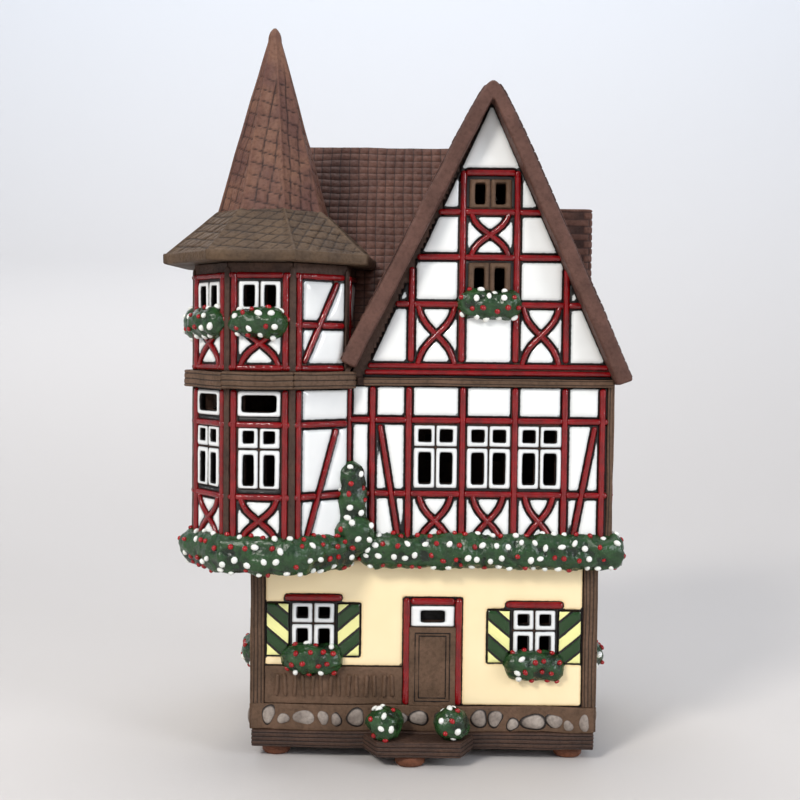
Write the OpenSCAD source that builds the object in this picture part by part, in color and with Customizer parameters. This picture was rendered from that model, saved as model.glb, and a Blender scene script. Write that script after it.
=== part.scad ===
// Half timbered tealight house: a slab built ceramic model with a corner turret.
// Units are millimetres. +Z is up, the front faces -Y, and the origin is the middle of the
// box round the whole house, on the level surface that the feet stand on.

/* [Body] */
// Width of the ground floor, outside
house_w = 123; // [110:1:140]
// Depth of the ground floor, outside
house_d = 86; // [76:1:104]
// Thickness of the clay slabs that make the walls
wall_t = 5; // [4:0.5:6]
// How far the upper storey stands out past the ground floor
jetty = 4; // [3:0.5:6]
// Height of the clay feet
foot_h = 4; // [2:0.5:6]
// Radius of the clay feet
foot_r = 5.2; // [4:0.1:7]
// Thickness of the base plate
plate_t = 6; // [4:0.5:8]
// How far the base plate stands out in front of and behind the walls
plate_out = 2; // [1:0.5:3]
// Height of the ground floor walls
ground_h = 62; // [58:1:70]
// Height of the upper storey, jetty slab included
upper_h = 65; // [62:1:72]
// Thickness of the jetty slab and of the turret's floor
jetty_t = 4; // [3:0.5:6]
// Width of the jetty slab's ring, measured inwards
jetty_ring_w = 14; // [11:1:18]

/* [Gable roof] */
// Width of the gable as a share of the upper storey's width
gable_share = 0.672; // [0.62:0.002:0.7]
// Pitch of the gable roof
gable_pitch = 64; // [60:1:66]
// Thickness of the roof slabs, square to the slope
roof_t = 5; // [4:0.5:6]
// How far the gable roof stands out in front of and behind the walls
gable_over = 8; // [5:0.5:10]
// How far the right hand slab's underside runs out past the wall
eave_out_right = 1.5; // [1:0.1:3]
// How far the left hand slab's underside runs out past the gable
eave_out_left = 3.7; // [2:0.1:4]

/* [Side roof] */
// Pitch of the side roof
side_pitch = 59; // [52:1:60]
// How far the side roof stands out past the left hand wall
side_over = 3; // [2:0.5:4]
// How far the side roof's underside runs out past the back wall
side_eave_out = 1.5; // [1:0.1:3]

/* [Turret] */
// Distance from the turret's axis to the outside of a wall face
turret_a = 27.3; // [25:0.1:29]
// Turn of the turret about its axis, clockwise from above
turret_turn = 6; // [0:1:10]
// Gap left between the clay slabs of the turret
joint_gap = 0.3; // [0.2:0.1:0.5]
// Height of the ledge between the turret's storeys
ledge_h = 5.8; // [4:0.1:7]
// How far the ledge stands out past the turret's walls
ledge_out = 3.3; // [2:0.1:5]
// Distance from the ledge's underside down from the top of the upper storey
ledge_drop = 4; // [2:0.5:6]
// Height of the turret's walls above the ledge
turret_top_h = 36.9; // [32:0.1:42]
// Radius to the corners of the turret roof's eave
eave_r = 38.5; // [36:0.5:41]
// Height of the upright edge of the turret roof's eave
eave_h = 3.7; // [2:0.1:5]
// Height of the skirt between the eave's edge and the foot of the spire
skirt_h = 15.1; // [12:0.1:18]
// Radius to the corners at the foot of the spire
spire_r = 19.6; // [17:0.1:22]
// Radius of the rounded tip of the spire
tip_r = 1.2; // [0.8:0.1:2]
// Height of the whole house
total_h = 261; // [250:1:290]
// How far the turret roof's axis stands to the left of the turret's axis
roof_shift = 1.3; // [0:0.1:2]

/* [Front and base] */
// Width of the front step at the wall
step_w = 40; // [34:1:46]
// Width of the front step at its front edge
step_front_w = 29.5; // [24:0.5:34]
// Distance from the wall to the step's front edge
step_d = 12; // [9:0.5:16]
// Height of the front step's slab
step_t = 5.5; // [4:0.5:6]
// Distance from the middle of the house to the middle of the step, to the left
step_off = 1.5; // [0:0.5:4]
// Height of the stone band round the foot of the walls
band_h = 9.3; // [7:0.1:11]
// Thickness of the stone band, the sign board and the shutters
relief_t = 1; // [0.8:0.1:1.5]
// Width of the sign board
sign_w = 49.8; // [40:0.1:51]
// Height of the sign board
sign_h = 13.9; // [10:0.1:16]
// Width of the door's frame, outside
door_w = 21; // [18:0.5:24]
// Height of the door's frame
door_h = 39; // [34:0.5:44]
// Distance from the middle of the house to the middle of the door
door_off = 3.2; // [0:0.1:6]
// Width of the bars of the door's frame and of the lintels
door_bar = 2.4; // [2:0.1:3]
// Height of the door's leaf
leaf_h = 28; // [24:0.5:32]
// Width of the pane over the door
transom_w = 8.4; // [6:0.1:10]
// Height of the pane over the door
transom_h = 4.2; // [3:0.1:5]
// Width of the doorway for the tealight, in the back wall
back_door_w = 50; // [44:1:56]
// Height of the doorway for the tealight, to the top of its arch
back_door_h = 46; // [40:1:50]

/* [Windows] */
// Distance of the ground floor windows from the middle, as a share of the width
ground_window_share = 0.322; // [0.3:0.002:0.33]
// Width of a pane in the ground floor windows
ground_pane_w = 4; // [3.5:0.1:4.5]
// Width of the bar between two panes in the ground floor windows
ground_mullion = 3.8; // [3:0.1:4.5]
// Height of the lower panes in the ground floor windows
ground_pane_h = 7; // [6:0.1:8]
// Height of the bar over the lower panes in the ground floor windows
ground_transom = 3.8; // [3:0.1:4.5]
// Height of the upper panes in the ground floor windows
ground_top_pane_h = 4; // [3:0.1:5]
// Height of the left hand window's panes above the ground floor
left_sill_h = 29.7; // [26:0.1:32]
// Height of the right hand window's panes above the ground floor
right_sill_h = 27.9; // [25:0.1:32]
// Width of a pane in the upper storey's windows
upper_pane_w = 4.5; // [3.5:0.1:4.6]
// Width of the bar between two panes in the upper storey's windows
upper_mullion = 3; // [2.5:0.1:3.5]
// Height of the upper storey's panes above the jetty's underside
upper_sill_h = 27.6; // [26:0.1:29]
// Height of the lower panes in the upper storey's windows
upper_pane_h = 11.2; // [10:0.1:12]
// Height of the bar over the lower panes in the upper storey's windows
upper_transom = 3.7; // [3:0.1:4.5]
// Height of the upper panes in the upper storey's windows
upper_top_pane_h = 4.4; // [3.5:0.1:5]
// Width of a pane in the gable's and the turret's windows
small_pane_w = 3.8; // [3:0.1:4]
// Width of the bar between two panes in the gable's and the turret's windows
small_mullion = 3.4; // [3:0.1:4]
// Width of the frame round the panes
frame_w = 1.7; // [1.2:0.1:2]
// Thickness of the window frames
frame_t = 0.9; // [0.6:0.1:1.2]

/* [Shutters and flowers] */
// Width of a shutter
shutter_w = 8.4; // [7:0.1:9]
// Height of a shutter
shutter_h = 22; // [18:0.5:24]
// Distance from the middle of a window to the middle of a shutter
shutter_off = 12.7; // [12.6:0.1:13.5]
// Radius of the flower boxes
box_r = 5.4; // [4.5:0.1:6.5]
// Length of the flower boxes on the ground floor and in the gable
box_len = 22; // [18:0.5:24]
// Radius of the garland round the jetty
garland_r = 6.2; // [5:0.1:7]
// Thickness of the garland round the turret
turret_garland_t = 5; // [4:0.1:6]
// Height of the garland round the turret
turret_garland_h = 15; // [13:0.5:16]
// Radius of the climbing flowers in front of the turret
climber_r = 5.2; // [4:0.1:6]
// Height that the climbing flowers reach above the garland's middle
climber_h = 32; // [26:0.5:36]
// Radius of the bushes on the step
bush_r = 6.6; // [6:0.1:7]
// Distance from the middle of the step to the middle of a bush
bush_off = 12; // [10:0.1:13]

/* [Timbers] */
// Width of the posts and rails
timber_w = 2.6; // [2:0.1:3]
// Width of the slanted and crossed braces
brace_w = 2.2; // [1.6:0.1:2.4]
// Thickness of the timbers on the walls
timber_t = 1; // [0.8:0.1:1.5]
// How far the legs of the crossed braces bow
brace_bow = 1.6; // [0:0.1:2.5]
// Height of the lower rail above the jetty's underside
low_rail_h = 24.1; // [23:0.1:25]
// Height of the upper rail above the jetty's underside
high_rail_h = 50.1; // [49:0.1:51]
// Height of the eave beam
beam_h = 2.8; // [2:0.1:4]
// How far the eave beam stands out
beam_t = 2; // [1.5:0.1:3]
// Distance from the middle of the gable to its inner posts
gable_post_in = 9.5; // [8.5:0.1:10.5]
// Distance from the middle of the gable to its outer posts
gable_post_out = 27.2; // [25:0.1:30]

/* [Chimney] */
// Width of the chimney
chimney_w = 16; // [14:0.5:18]
// Depth of the chimney
chimney_d = 15; // [13:0.5:18]
// Height of the chimney's top above the ground
chimney_top = 200.5; // [190:0.5:206]
// Distance from the middle of the gable to the middle of the chimney
chimney_off = 33.5; // [30:0.5:36]
// Distance from the upper storey's front to the middle of the chimney
chimney_back = 41; // [36:1:60]
// Thickness of the chimney's walls
chimney_t = 3.5; // [3:0.1:4]

/* [Hidden] */

// Cuts run past the faces that they open by this much
over = 1;
// Facets round the lying flower boxes and the garland
round_fn = 32;
// Straight steps along a bowed brace
bow_steps = 6;
// Number of the turret's faces, and the angle from one to the next
faces = 8;
face_turn = 360 / faces;
half_turn = face_turn / 2;

// Levels above the ground
z_ground = foot_h + plate_t;
z_upper = z_ground + ground_h;
z_walls = z_upper + jetty_t;
z_eave = z_upper + upper_h;
z_ledge = z_eave - ledge_drop;
z_turret = z_ledge + ledge_h;
z_skirt = z_turret + turret_top_h;
z_spire = z_skirt + eave_h + skirt_h;
z_band_top = z_ground + band_h;

// Plan of the ground floor and the upper storey, about the middle of the front wall
half_w = house_w / 2;
upper_x = half_w + jetty;
front_y = -jetty;
back_y = house_d + jetty;
mid_y = (front_y + back_y) / 2;

// Gable roof
gable_w = gable_share * 2 * upper_x;
gable_x = upper_x - gable_w / 2;
gable_rise = gable_w / 2 * tan(gable_pitch);
gable_lift = roof_t / cos(gable_pitch);

// Side roof
side_half = (back_y - front_y) / 2;
side_rise = side_half * tan(side_pitch);
side_lift = roof_t / cos(side_pitch);
side_share = side_rise / gable_rise;

// Turret
turret_x = -upper_x + turret_a * tan(half_turn);
turret_y = front_y + turret_a * tan(half_turn);
face_half = turret_a * tan(half_turn);
roof_x = turret_x - roof_shift;
corner_turn = half_turn - turret_turn;

// Posts of the upper storey's walls
front_post_shares = [-0.29, -0.095, 0.195, 0.476, 0.744, 0.947];
front_posts = [for (s = front_post_shares) s * upper_x];
post_inset = 3.5;
back_bays = 7;
side_bays = 5;
left_bays = 3;
left_start_y = 36;
back_posts = even_posts(-upper_x + post_inset, upper_x - post_inset, back_bays);
right_posts = even_posts(front_y + post_inset, back_y - post_inset, side_bays);
left_posts = even_posts(post_inset - back_y, -left_start_y, left_bays);

// Bays with a window in each wall of the upper storey
front_windows = [1, 2, 3];
right_windows = [1, 3];
left_windows = [1];
back_windows = [1, 3, 5];

// Rails of the gables above the eaves
gable_rails = [25.9, 42.4, 58.2];
gable_head_rail = 71.9;
gable_foot_rails = [1.9, 4.2];
foot_rail_w = 1.8;
gable_low_sill = 30.4;
gable_low_pane_h = 8.5;
gable_high_sill = 60.8;
gable_high_pane_h = 7.6;

// Windows of the turret, above the levels of its storeys
turret_low_sill = 28;
turret_low_pane_h = 10.5;
turret_mid_bar = 4;
turret_mid_pane_h = 4.2;
turret_fan_sill = 53;
turret_fan_h = 5.8;
turret_fan_w = 12;
turret_high_sill = 22;
turret_high_pane_h = 7.2;
window_faces = [6, 7, 0];
plain_faces = [5, 1];
lower_faces = [5, 6, 7, 0, 1, 2];

// Bare clay under the turret's eave, and the middle rail of its plain faces
turret_band_h = 3;
plain_rail_h = 16;

// Ground floor windows of the side and back walls
side_window_share = 0.27;
back_window_x = 43;
ground_frame_w = 2 * ground_pane_w + ground_mullion + 2 * frame_w;
ground_frame_h = ground_pane_h + ground_transom + ground_top_pane_h + 2 * frame_w;
lintel_w = 20.6;
lintel_gap = 0.5;
shutter_drop = 3;

// Depth of the flower boxes' middle under the panes
box_drop = 3.5;

// Faces of the turret with a garland, and the left end of the front wall's one
garland_faces = [5, 6, 7, 0, 1, 2];
garland_start = turret_x + joint_gap
    + (turret_a + turret_garland_t) / cos(half_turn) * cos(half_turn + turret_turn);

// Foot of the climbing flowers, on the garland
climber_z = z_walls - garland_r + turret_garland_h;

// Feet of the house
foot_x = 53;
foot_y = 6;

// The middle of the box round the house, which the origin stands under
box_left = roof_x - eave_r * cos(corner_turn);
box_right = upper_x + eave_out_right + roof_t * sin(gable_pitch);
box_front = turret_y - eave_r * cos(corner_turn);
box_back = back_y + gable_over;
box_middle = [(box_left + box_right) / 2, (box_front + box_back) / 2, 0];

// Post lines that split the stretch from a to b into equal bays
function even_posts(a, b, bays) = [for (i = [0:bays]) a + i * (b - a) / bays];

// Middle of bay i
function bay_mid(posts, i) = (posts[i] + posts[i + 1]) / 2;

// Point at share t along a line from a to b that bows sideways
function bowed(a, b, bow, t) =
    a + t * (b - a) + 4 * t * (1 - t) * bow * [a[1] - b[1], b[0] - a[0]] / norm(b - a);

// ---------------------------------------------------------------- placing

module at_home() {
    translate(-box_middle) children();
}

// Places a drawing on a wall: its first axis runs along the wall and its second goes up
module on_front(y) {
    translate([0, y, 0]) rotate([90, 0, 0]) children();
}

module on_back(y) {
    translate([0, y, 0]) rotate([90, 0, 180]) children();
}

module on_right(x) {
    translate([x, 0, 0]) rotate([90, 0, 90]) children();
}

module on_left(x) {
    translate([x, 0, 0]) rotate([90, 0, -90]) children();
}

// Places a drawing on a face of the turret
module on_face(k) {
    translate([turret_x, turret_y, 0]) rotate([90, 0, k * face_turn - turret_turn])
        translate([0, 0, turret_a]) children();
}

// ---------------------------------------------------------------- drawings

module rect(u0, v0, u1, v1) {
    translate([u0, v0]) square([u1 - u0, v1 - v0]);
}

// A bar from a to b, bowed sideways by bow at its middle
module bar(a, b, w, bow = 0) {
    side = w / 2 * [a[1] - b[1], b[0] - a[0]] / norm(b - a);
    steps = bow == 0 ? 1 : bow_steps;
    left = [for (i = [0:steps]) bowed(a + side, b + side, bow, i / steps)];
    right = [for (i = [steps:-1:0]) bowed(a - side, b - side, bow, i / steps)];
    polygon(concat(left, right));
}

// Two braces that cross between the corners of a bay
module cross_brace(u0, v0, u1, v1) {
    bar([u0, v1], [u1, v0], brace_w, brace_bow);
    bar([u1, v1], [u0, v0], brace_w, -brace_bow);
}

// Two columns of panes about u, one row for each pair in rows
module panes(u, rows, pane_w, mullion) {
    for (side = [-1, 1], row = rows)
        translate([u + side * (mullion + pane_w) / 2, (row[0] + row[1]) / 2])
            square([pane_w, row[1] - row[0]], center = true);
}

// The frame round the panes of one window
module frame(u, v0, v1, w) {
    rect(u - w / 2, v0 - frame_w, u + w / 2, v1 + frame_w);
}

// Rows of panes, as pairs of heights above the ground
function ground_rows(sill) = [
    [z_ground + sill, z_ground + sill + ground_pane_h],
    [z_ground + sill + ground_pane_h + ground_transom,
        z_ground + sill + ground_pane_h + ground_transom + ground_top_pane_h]
];

upper_rows = [
    [z_upper + upper_sill_h, z_upper + upper_sill_h + upper_pane_h],
    [z_upper + upper_sill_h + upper_pane_h + upper_transom,
        z_upper + upper_sill_h + upper_pane_h + upper_transom + upper_top_pane_h]
];
gable_low_rows = [[z_eave + gable_low_sill, z_eave + gable_low_sill + gable_low_pane_h]];

// The row of panes near the peak of a gable that is share times as high as the front one
function peak_rows(share) = [
    [z_eave + share * gable_high_sill, z_eave + share * gable_high_sill + gable_high_pane_h]
];
turret_low_rows = [
    [z_upper + turret_low_sill, z_upper + turret_low_sill + turret_low_pane_h],
    [z_upper + turret_low_sill + turret_low_pane_h + turret_mid_bar,
        z_upper + turret_low_sill + turret_low_pane_h + turret_mid_bar + turret_mid_pane_h]
];
turret_high_rows = [[z_turret + turret_high_sill, z_turret + turret_high_sill + turret_high_pane_h]];

module ground_panes(u, sill) {
    panes(u, ground_rows(sill), ground_pane_w, ground_mullion);
}

module upper_panes(posts, bays) {
    for (i = bays)
        panes(bay_mid(posts, i), upper_rows, upper_pane_w, upper_mullion);
}

// The small windows of a gable whose middle is at u
module gable_panes(u, share = 1) {
    panes(u, peak_rows(share), small_pane_w, small_mullion);
    if (share == 1)
        panes(u, gable_low_rows, small_pane_w, small_mullion);
}

module turret_low_panes() {
    panes(0, turret_low_rows, small_pane_w, small_mullion);
    rect(-turret_fan_w / 2, z_upper + turret_fan_sill,
        turret_fan_w / 2, z_upper + turret_fan_sill + turret_fan_h);
}

module turret_high_panes() {
    panes(0, turret_high_rows, small_pane_w, small_mullion);
}

// The area under a roof of the given half width and rise, lifted by the slab's thickness
module roof_triangle(u, half, pitch, lift, drop = 0) {
    out = half + (lift + drop) / tan(pitch);
    polygon([[u - out, z_eave - drop], [u, z_eave + half * tan(pitch) + lift],
        [u + out, z_eave - drop]]);
}

// Section of one roof slab, from the ridge at u = 0 to an eave on the +u side
module slab_section(half, pitch, lift, eave_out) {
    eave = [half + eave_out, z_eave - eave_out * tan(pitch)];
    polygon([[0, z_eave + half * tan(pitch)], eave,
        eave + roof_t * [sin(pitch), cos(pitch)], [0, z_eave + half * tan(pitch) + lift]]);
}

// Posts, rails and braces of an upper storey wall
module storey_frame(posts, windows, slants) {
    last = len(posts) - 1;
    z_low = z_upper + low_rail_h;
    z_high = z_upper + high_rail_h;
    for (p = posts)
        rect(p - timber_w / 2, z_walls, p + timber_w / 2, z_eave - beam_h);
    for (z = [z_low, z_high])
        rect(posts[0], z - timber_w / 2, posts[last], z + timber_w / 2);
    intersection() {
        rect(posts[0], z_walls, posts[last], z_high);
        union() {
            for (i = windows)
                cross_brace(posts[i] + timber_w, z_walls, posts[i + 1] - timber_w, z_low);
            for (s = slants)
                bar([posts[s[0]] + timber_w, s[1] > 0 ? z_high : z_walls],
                    [posts[s[0] + 1] - timber_w, s[1] > 0 ? z_walls : z_high], brace_w);
        }
    }
}

// Posts, rails and braces of a gable whose middle is at u
module gable_frame(u, half, pitch, share = 1) {
    head = z_eave + share * gable_head_rail;
    rails = [for (z = gable_rails) z_eave + share * z];
    bay = (gable_post_out - gable_post_in) / 2;
    intersection() {
        union() {
            for (p = [-gable_post_out, -gable_post_in, gable_post_in, gable_post_out])
                rect(u + p - timber_w / 2, z_eave, u + p + timber_w / 2, head);
            for (z = rails)
                rect(u - half, z - timber_w / 2, u + half, z + timber_w / 2);
            for (z = gable_foot_rails)
                rect(u - half, z_eave + z - foot_rail_w / 2, u + half, z_eave + z + foot_rail_w / 2);
            rect(u - gable_post_in, head - timber_w / 2, u + gable_post_in, head + timber_w / 2);
            for (middle = [u - gable_post_in - bay, u + gable_post_in + bay])
                cross_brace(middle - bay + timber_w, z_eave + gable_foot_rails[1],
                    middle + bay - timber_w, rails[0]);
            cross_brace(u - gable_post_in + timber_w, rails[1], u + gable_post_in - timber_w, rails[2]);
        }
        roof_triangle(u, half, pitch, 0);
    }
}

// The part of the front that the turret's ledge stands before
module turret_on_front() {
    reach = (turret_a + ledge_out) / cos(half_turn) * cos(corner_turn);
    rect(-2 * upper_x, z_walls - over, turret_x + reach, z_skirt);
}

// Posts and rails between two heights of a turret face, with the braces that are added
module face_frame(v0, v1, rails) {
    inner = face_half - joint_gap;
    for (side = [-1, 1])
        rect(side * (inner - timber_w / 2) - timber_w / 2, v0,
            side * (inner - timber_w / 2) + timber_w / 2, v1);
    for (z = rails)
        rect(-inner, z - timber_w / 2, inner, z + timber_w / 2);
    intersection() {
        children();
        rect(-inner, v0, inner, v1);
    }
}

// ---------------------------------------------------------------- solids

// An upright box between two corners
module box(from, to) {
    translate(from) cube(to - from);
}

// Everything that the turret's walls and roof take up, for cutting the house round it
module turret_space(room = 0) {
    octagon(turret_x, turret_a + room, z_upper - over, z_skirt);
    octagon(turret_x, turret_a + ledge_out, z_ledge, z_turret);
    skirt_outside(0);
    spire_outside(0, total_h - tip_r - z_spire);
}

module octagon(x, apothem, z0, z1) {
    translate([x, turret_y, z0]) rotate(corner_turn)
        cylinder(h = z1 - z0, r = apothem / cos(half_turn), $fn = faces);
}

// The turret roof's outer form below the spire, drawn in by inset
module skirt_outside(inset) {
    translate([roof_x, turret_y, z_skirt]) rotate(corner_turn) {
        cylinder(h = eave_h, r = eave_r - inset, $fn = faces);
        translate([0, 0, eave_h])
            cylinder(h = skirt_h, r1 = eave_r - inset, r2 = spire_r - inset, $fn = faces);
    }
}

// The spire's outer form up to height h, drawn in by inset
module spire_outside(inset, h) {
    translate([roof_x, turret_y, z_spire]) rotate(corner_turn)
        cylinder(h = h, r1 = spire_r - inset, r2 = tip_r, $fn = faces);
}

// One upright slab of an eight sided ring
module ring_slab(k, apothem, t, z0, z1) {
    outer = apothem * tan(half_turn) - joint_gap / 2;
    inner = (apothem - t) * tan(half_turn) - joint_gap / 2;
    translate([turret_x, turret_y, z0]) rotate(k * face_turn - turret_turn - 90)
        linear_extrude(z1 - z0)
            polygon([[apothem - t, -inner], [apothem, -outer], [apothem, outer],
                [apothem - t, inner]]);
}

// The upper storey's outer box, and its room inside the walls
module upper_box(inset, top = z_eave) {
    box([-upper_x + inset, front_y + inset, z_upper - over],
        [upper_x - inset, back_y - inset, top]);
}

// The space under the side roof's slabs
module side_attic(inset) {
    translate([-upper_x + inset, 0, 0]) rotate([90, 0, 90])
        linear_extrude(gable_x + upper_x)
            roof_triangle(mid_y, side_half, side_pitch, 0);
}

// The space that the gable roof covers, slabs included
module gable_space(drop) {
    translate([0, box_back + over, 0]) rotate([90, 0, 0])
        linear_extrude(box_back - box_front + 2 * over)
            roof_triangle(gable_x, gable_w / 2, gable_pitch, gable_lift, drop);
}

// A lying half round lump of glazed flowers on a wall
module flower_bed(u, v, len, r) {
    translate([u - len / 2, v, 0]) rotate([0, 90, 0])
        cylinder(h = len, r = r, $fn = round_fn);
}

module flue() {
    translate([gable_x + chimney_off, front_y + chimney_back, z_eave + (chimney_top - z_eave) / 2])
        cube([chimney_w - 2 * chimney_t, chimney_d - 2 * chimney_t, chimney_top - z_eave + 2 * over],
            center = true);
}

// ---------------------------------------------------------------- base

module base_plate() {
    color("#4a372e") at_home()
        box([-half_w, -plate_out, foot_h], [half_w, house_d + plate_out, z_ground]);
}

module base_feet() {
    color("#7a4a33") at_home() {
        for (x = [-foot_x, foot_x], y = [foot_y, house_d - foot_y])
            translate([x, y, 0]) cylinder(h = foot_h, r = foot_r, $fn = round_fn);
        translate([-step_off - foot_y / 2, -foot_y, 0])
            cylinder(h = foot_h, r = foot_r, $fn = round_fn);
    }
}

module front_step() {
    color("#4a372e") at_home() translate([-step_off, 0, foot_h])
        linear_extrude(step_t)
            polygon([[-step_w / 2, -plate_out], [-step_front_w / 2, -step_d],
                [step_front_w / 2, -step_d], [step_w / 2, -plate_out]]);
}

// ---------------------------------------------------------------- ground floor

module ground_front_wall() {
    color("#f2dfb4") at_home() difference() {
        box([-half_w, 0, z_ground], [half_w, wall_t, z_upper]);
        on_front(wall_t + over) linear_extrude(wall_t + 2 * over) {
            ground_panes(-ground_window_share * house_w, left_sill_h);
            ground_panes(ground_window_share * house_w, right_sill_h);
            transom_pane();
        }
    }
}

module transom_pane() {
    rect(door_off - transom_w / 2, transom_z(), door_off + transom_w / 2, transom_z() + transom_h);
}

function transom_z() = z_band_top + leaf_h + (door_h - door_bar - leaf_h - transom_h) / 2;

module side_ground_panes(mirrored) {
    for (s = [-1, 1])
        ground_panes(mirrored * house_d / 2 + s * side_window_share * house_d, right_sill_h);
}

module ground_left_wall() {
    color("#f2dfb4") at_home() difference() {
        box([-half_w, wall_t, z_ground], [wall_t - half_w, house_d - wall_t, z_upper]);
        on_left(wall_t + over - half_w) linear_extrude(wall_t + 2 * over) side_ground_panes(-1);
    }
}

module ground_right_wall() {
    color("#f2dfb4") at_home() difference() {
        box([half_w - wall_t, wall_t, z_ground], [half_w, house_d - wall_t, z_upper]);
        on_right(half_w - wall_t - over) linear_extrude(wall_t + 2 * over) side_ground_panes(1);
    }
}

// The arched doorway through which the tealight is set
module tealight_arch() {
    spring = back_door_h - back_door_w / 2;
    rect(-back_door_w / 2, z_ground - over, back_door_w / 2, z_ground + spring);
    translate([0, z_ground + spring]) intersection() {
        circle(r = back_door_w / 2, $fn = round_fn);
        rect(-back_door_w / 2, -over, back_door_w / 2, back_door_w / 2);
    }
}

module ground_back_wall() {
    color("#f2dfb4") at_home() difference() {
        box([-half_w, house_d - wall_t, z_ground], [half_w, house_d, z_upper]);
        on_back(house_d - wall_t - over) linear_extrude(wall_t + 2 * over) {
            tealight_arch();
            for (s = [-1, 1])
                ground_panes(s * back_window_x, right_sill_h);
        }
    }
}

module stone_band() {
    color("#5b4d43") at_home() {
        on_front(0) linear_extrude(relief_t) rect(-half_w, z_ground, half_w, z_band_top);
        on_left(-half_w) linear_extrude(relief_t) rect(-house_d, z_ground, 0, z_band_top);
        on_right(half_w) linear_extrude(relief_t) rect(0, z_ground, house_d, z_band_top);
        for (s = [-1, 1])
            on_back(house_d) linear_extrude(relief_t)
                rect(min(s * half_w, s * back_door_w / 2), z_ground,
                    max(s * half_w, s * back_door_w / 2), z_band_top);
    }
}

module sign_board() {
    color("#4a362c") at_home() on_front(0) linear_extrude(relief_t)
        translate([door_off - door_w / 2 - sign_w, z_band_top]) square([sign_w, sign_h]);
}

module front_door() {
    color("#6b4a34") at_home() on_front(0) linear_extrude(relief_t + timber_t / 2) difference() {
        rect(door_off - door_w / 2, z_band_top, door_off + door_w / 2, z_band_top + door_h);
        transom_pane();
    }
}

// The frame and lintel of one ground floor window
module ground_frame(u, sill) {
    frame(u, z_ground + sill, ground_rows(sill)[1][1], ground_frame_w);
    translate([u - lintel_w / 2, z_ground + sill - frame_w + ground_frame_h])
        square([lintel_w, door_bar + lintel_gap]);
}

module ground_windows() {
    color("#e8ebe9") at_home() {
        on_front(0) linear_extrude(frame_t) difference() {
            union() {
                ground_frame(-ground_window_share * house_w, left_sill_h);
                ground_frame(ground_window_share * house_w, right_sill_h);
            }
            ground_panes(-ground_window_share * house_w, left_sill_h);
            ground_panes(ground_window_share * house_w, right_sill_h);
        }
        on_right(half_w) linear_extrude(frame_t) side_frames(1);
        on_left(-half_w) linear_extrude(frame_t) side_frames(-1);
        on_back(house_d) linear_extrude(frame_t)
            for (s = [-1, 1])
                difference() {
                    ground_frame(s * back_window_x, right_sill_h);
                    ground_panes(s * back_window_x, right_sill_h);
                }
    }
}

module side_frames(mirrored) {
    difference() {
        for (s = [-1, 1])
            ground_frame(mirrored * house_d / 2 + s * side_window_share * house_d, right_sill_h);
        side_ground_panes(mirrored);
    }
}

// The two shutters of one window
module shutter_pair(u, sill) {
    for (s = [-1, 1])
        translate([u + s * shutter_off - shutter_w / 2, z_ground + sill - shutter_drop])
            square([shutter_w, min(shutter_h, ground_frame_h + shutter_drop - frame_w - lintel_gap)]);
}

module ground_shutters() {
    color("#2d4a1f") at_home() {
        on_front(0) linear_extrude(relief_t) {
            shutter_pair(-ground_window_share * house_w, left_sill_h);
            shutter_pair(ground_window_share * house_w, right_sill_h);
        }
        for (s = [-1, 1]) {
            on_right(half_w) linear_extrude(relief_t)
                shutter_pair(house_d / 2 + s * side_window_share * house_d, right_sill_h);
            on_left(-half_w) linear_extrude(relief_t)
                shutter_pair(-house_d / 2 + s * side_window_share * house_d, right_sill_h);
        }
    }
}

module ground_flower_boxes() {
    color("#3c5c38") at_home() difference() {
        union() {
            on_front(0)
                flower_bed(-ground_window_share * house_w, z_ground + left_sill_h - box_drop,
                    box_len, box_r);
            on_front(0)
                flower_bed(ground_window_share * house_w, z_ground + right_sill_h - box_drop,
                    box_len, box_r);
            for (s = [-1, 1]) {
                on_right(half_w)
                    flower_bed(house_d / 2 + s * side_window_share * house_d,
                        z_ground + right_sill_h - box_drop, box_len, box_r);
                on_left(-half_w)
                    flower_bed(-house_d / 2 + s * side_window_share * house_d,
                        z_ground + right_sill_h - box_drop, box_len, box_r);
            }
        }
        box([-half_w - relief_t, -relief_t, z_ground], [half_w + relief_t, house_d, z_upper]);
    }
}

module step_bushes() {
    color("#3c5c38") at_home() difference() {
        for (s = [-1, 1])
            translate([-step_off + s * bush_off, -relief_t - bush_r + over,
                foot_h + step_t + bush_r - over])
                sphere(r = bush_r, $fn = round_fn);
        box([-half_w, -relief_t - timber_t / 2, 0], [half_w, wall_t, z_upper]);
        box([-half_w, -house_d, 0], [half_w, -plate_out, foot_h + step_t]);
        box([-half_w, -plate_out, 0], [half_w, 0, z_ground]);
    }
}

// ---------------------------------------------------------------- upper storey

// The jetty's ring, laid as four strips
module jetty_slab() {
    color("#58453a") at_home() {
        for (y = [front_y, back_y - jetty_ring_w])
            box([-upper_x, y, z_upper], [upper_x, y + jetty_ring_w, z_walls]);
        for (x = [-upper_x, upper_x - jetty_ring_w])
            box([x, front_y + jetty_ring_w + joint_gap, z_upper],
                [x + jetty_ring_w, back_y - jetty_ring_w - joint_gap, z_walls]);
    }
}

module upper_front_wall() {
    color("#e8ebe9") at_home() difference() {
        box([-upper_x, front_y, z_walls], [upper_x, front_y + wall_t, z_eave]);
        on_front(front_y + wall_t + over) linear_extrude(wall_t + 2 * over)
            upper_panes(front_posts, front_windows);
        turret_space();
    }
}

module upper_right_wall() {
    color("#e8ebe9") at_home() difference() {
        translate([0, back_y - wall_t, 0]) rotate([90, 0, 0])
            linear_extrude(back_y - front_y - 2 * wall_t)
                polygon([[upper_x - wall_t, z_walls], [upper_x, z_walls], [upper_x, z_eave],
                    [upper_x - wall_t, z_eave + wall_t * tan(gable_pitch)]]);
        on_right(upper_x - wall_t - over) linear_extrude(wall_t + 2 * over)
            upper_panes(right_posts, right_windows);
    }
}

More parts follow.
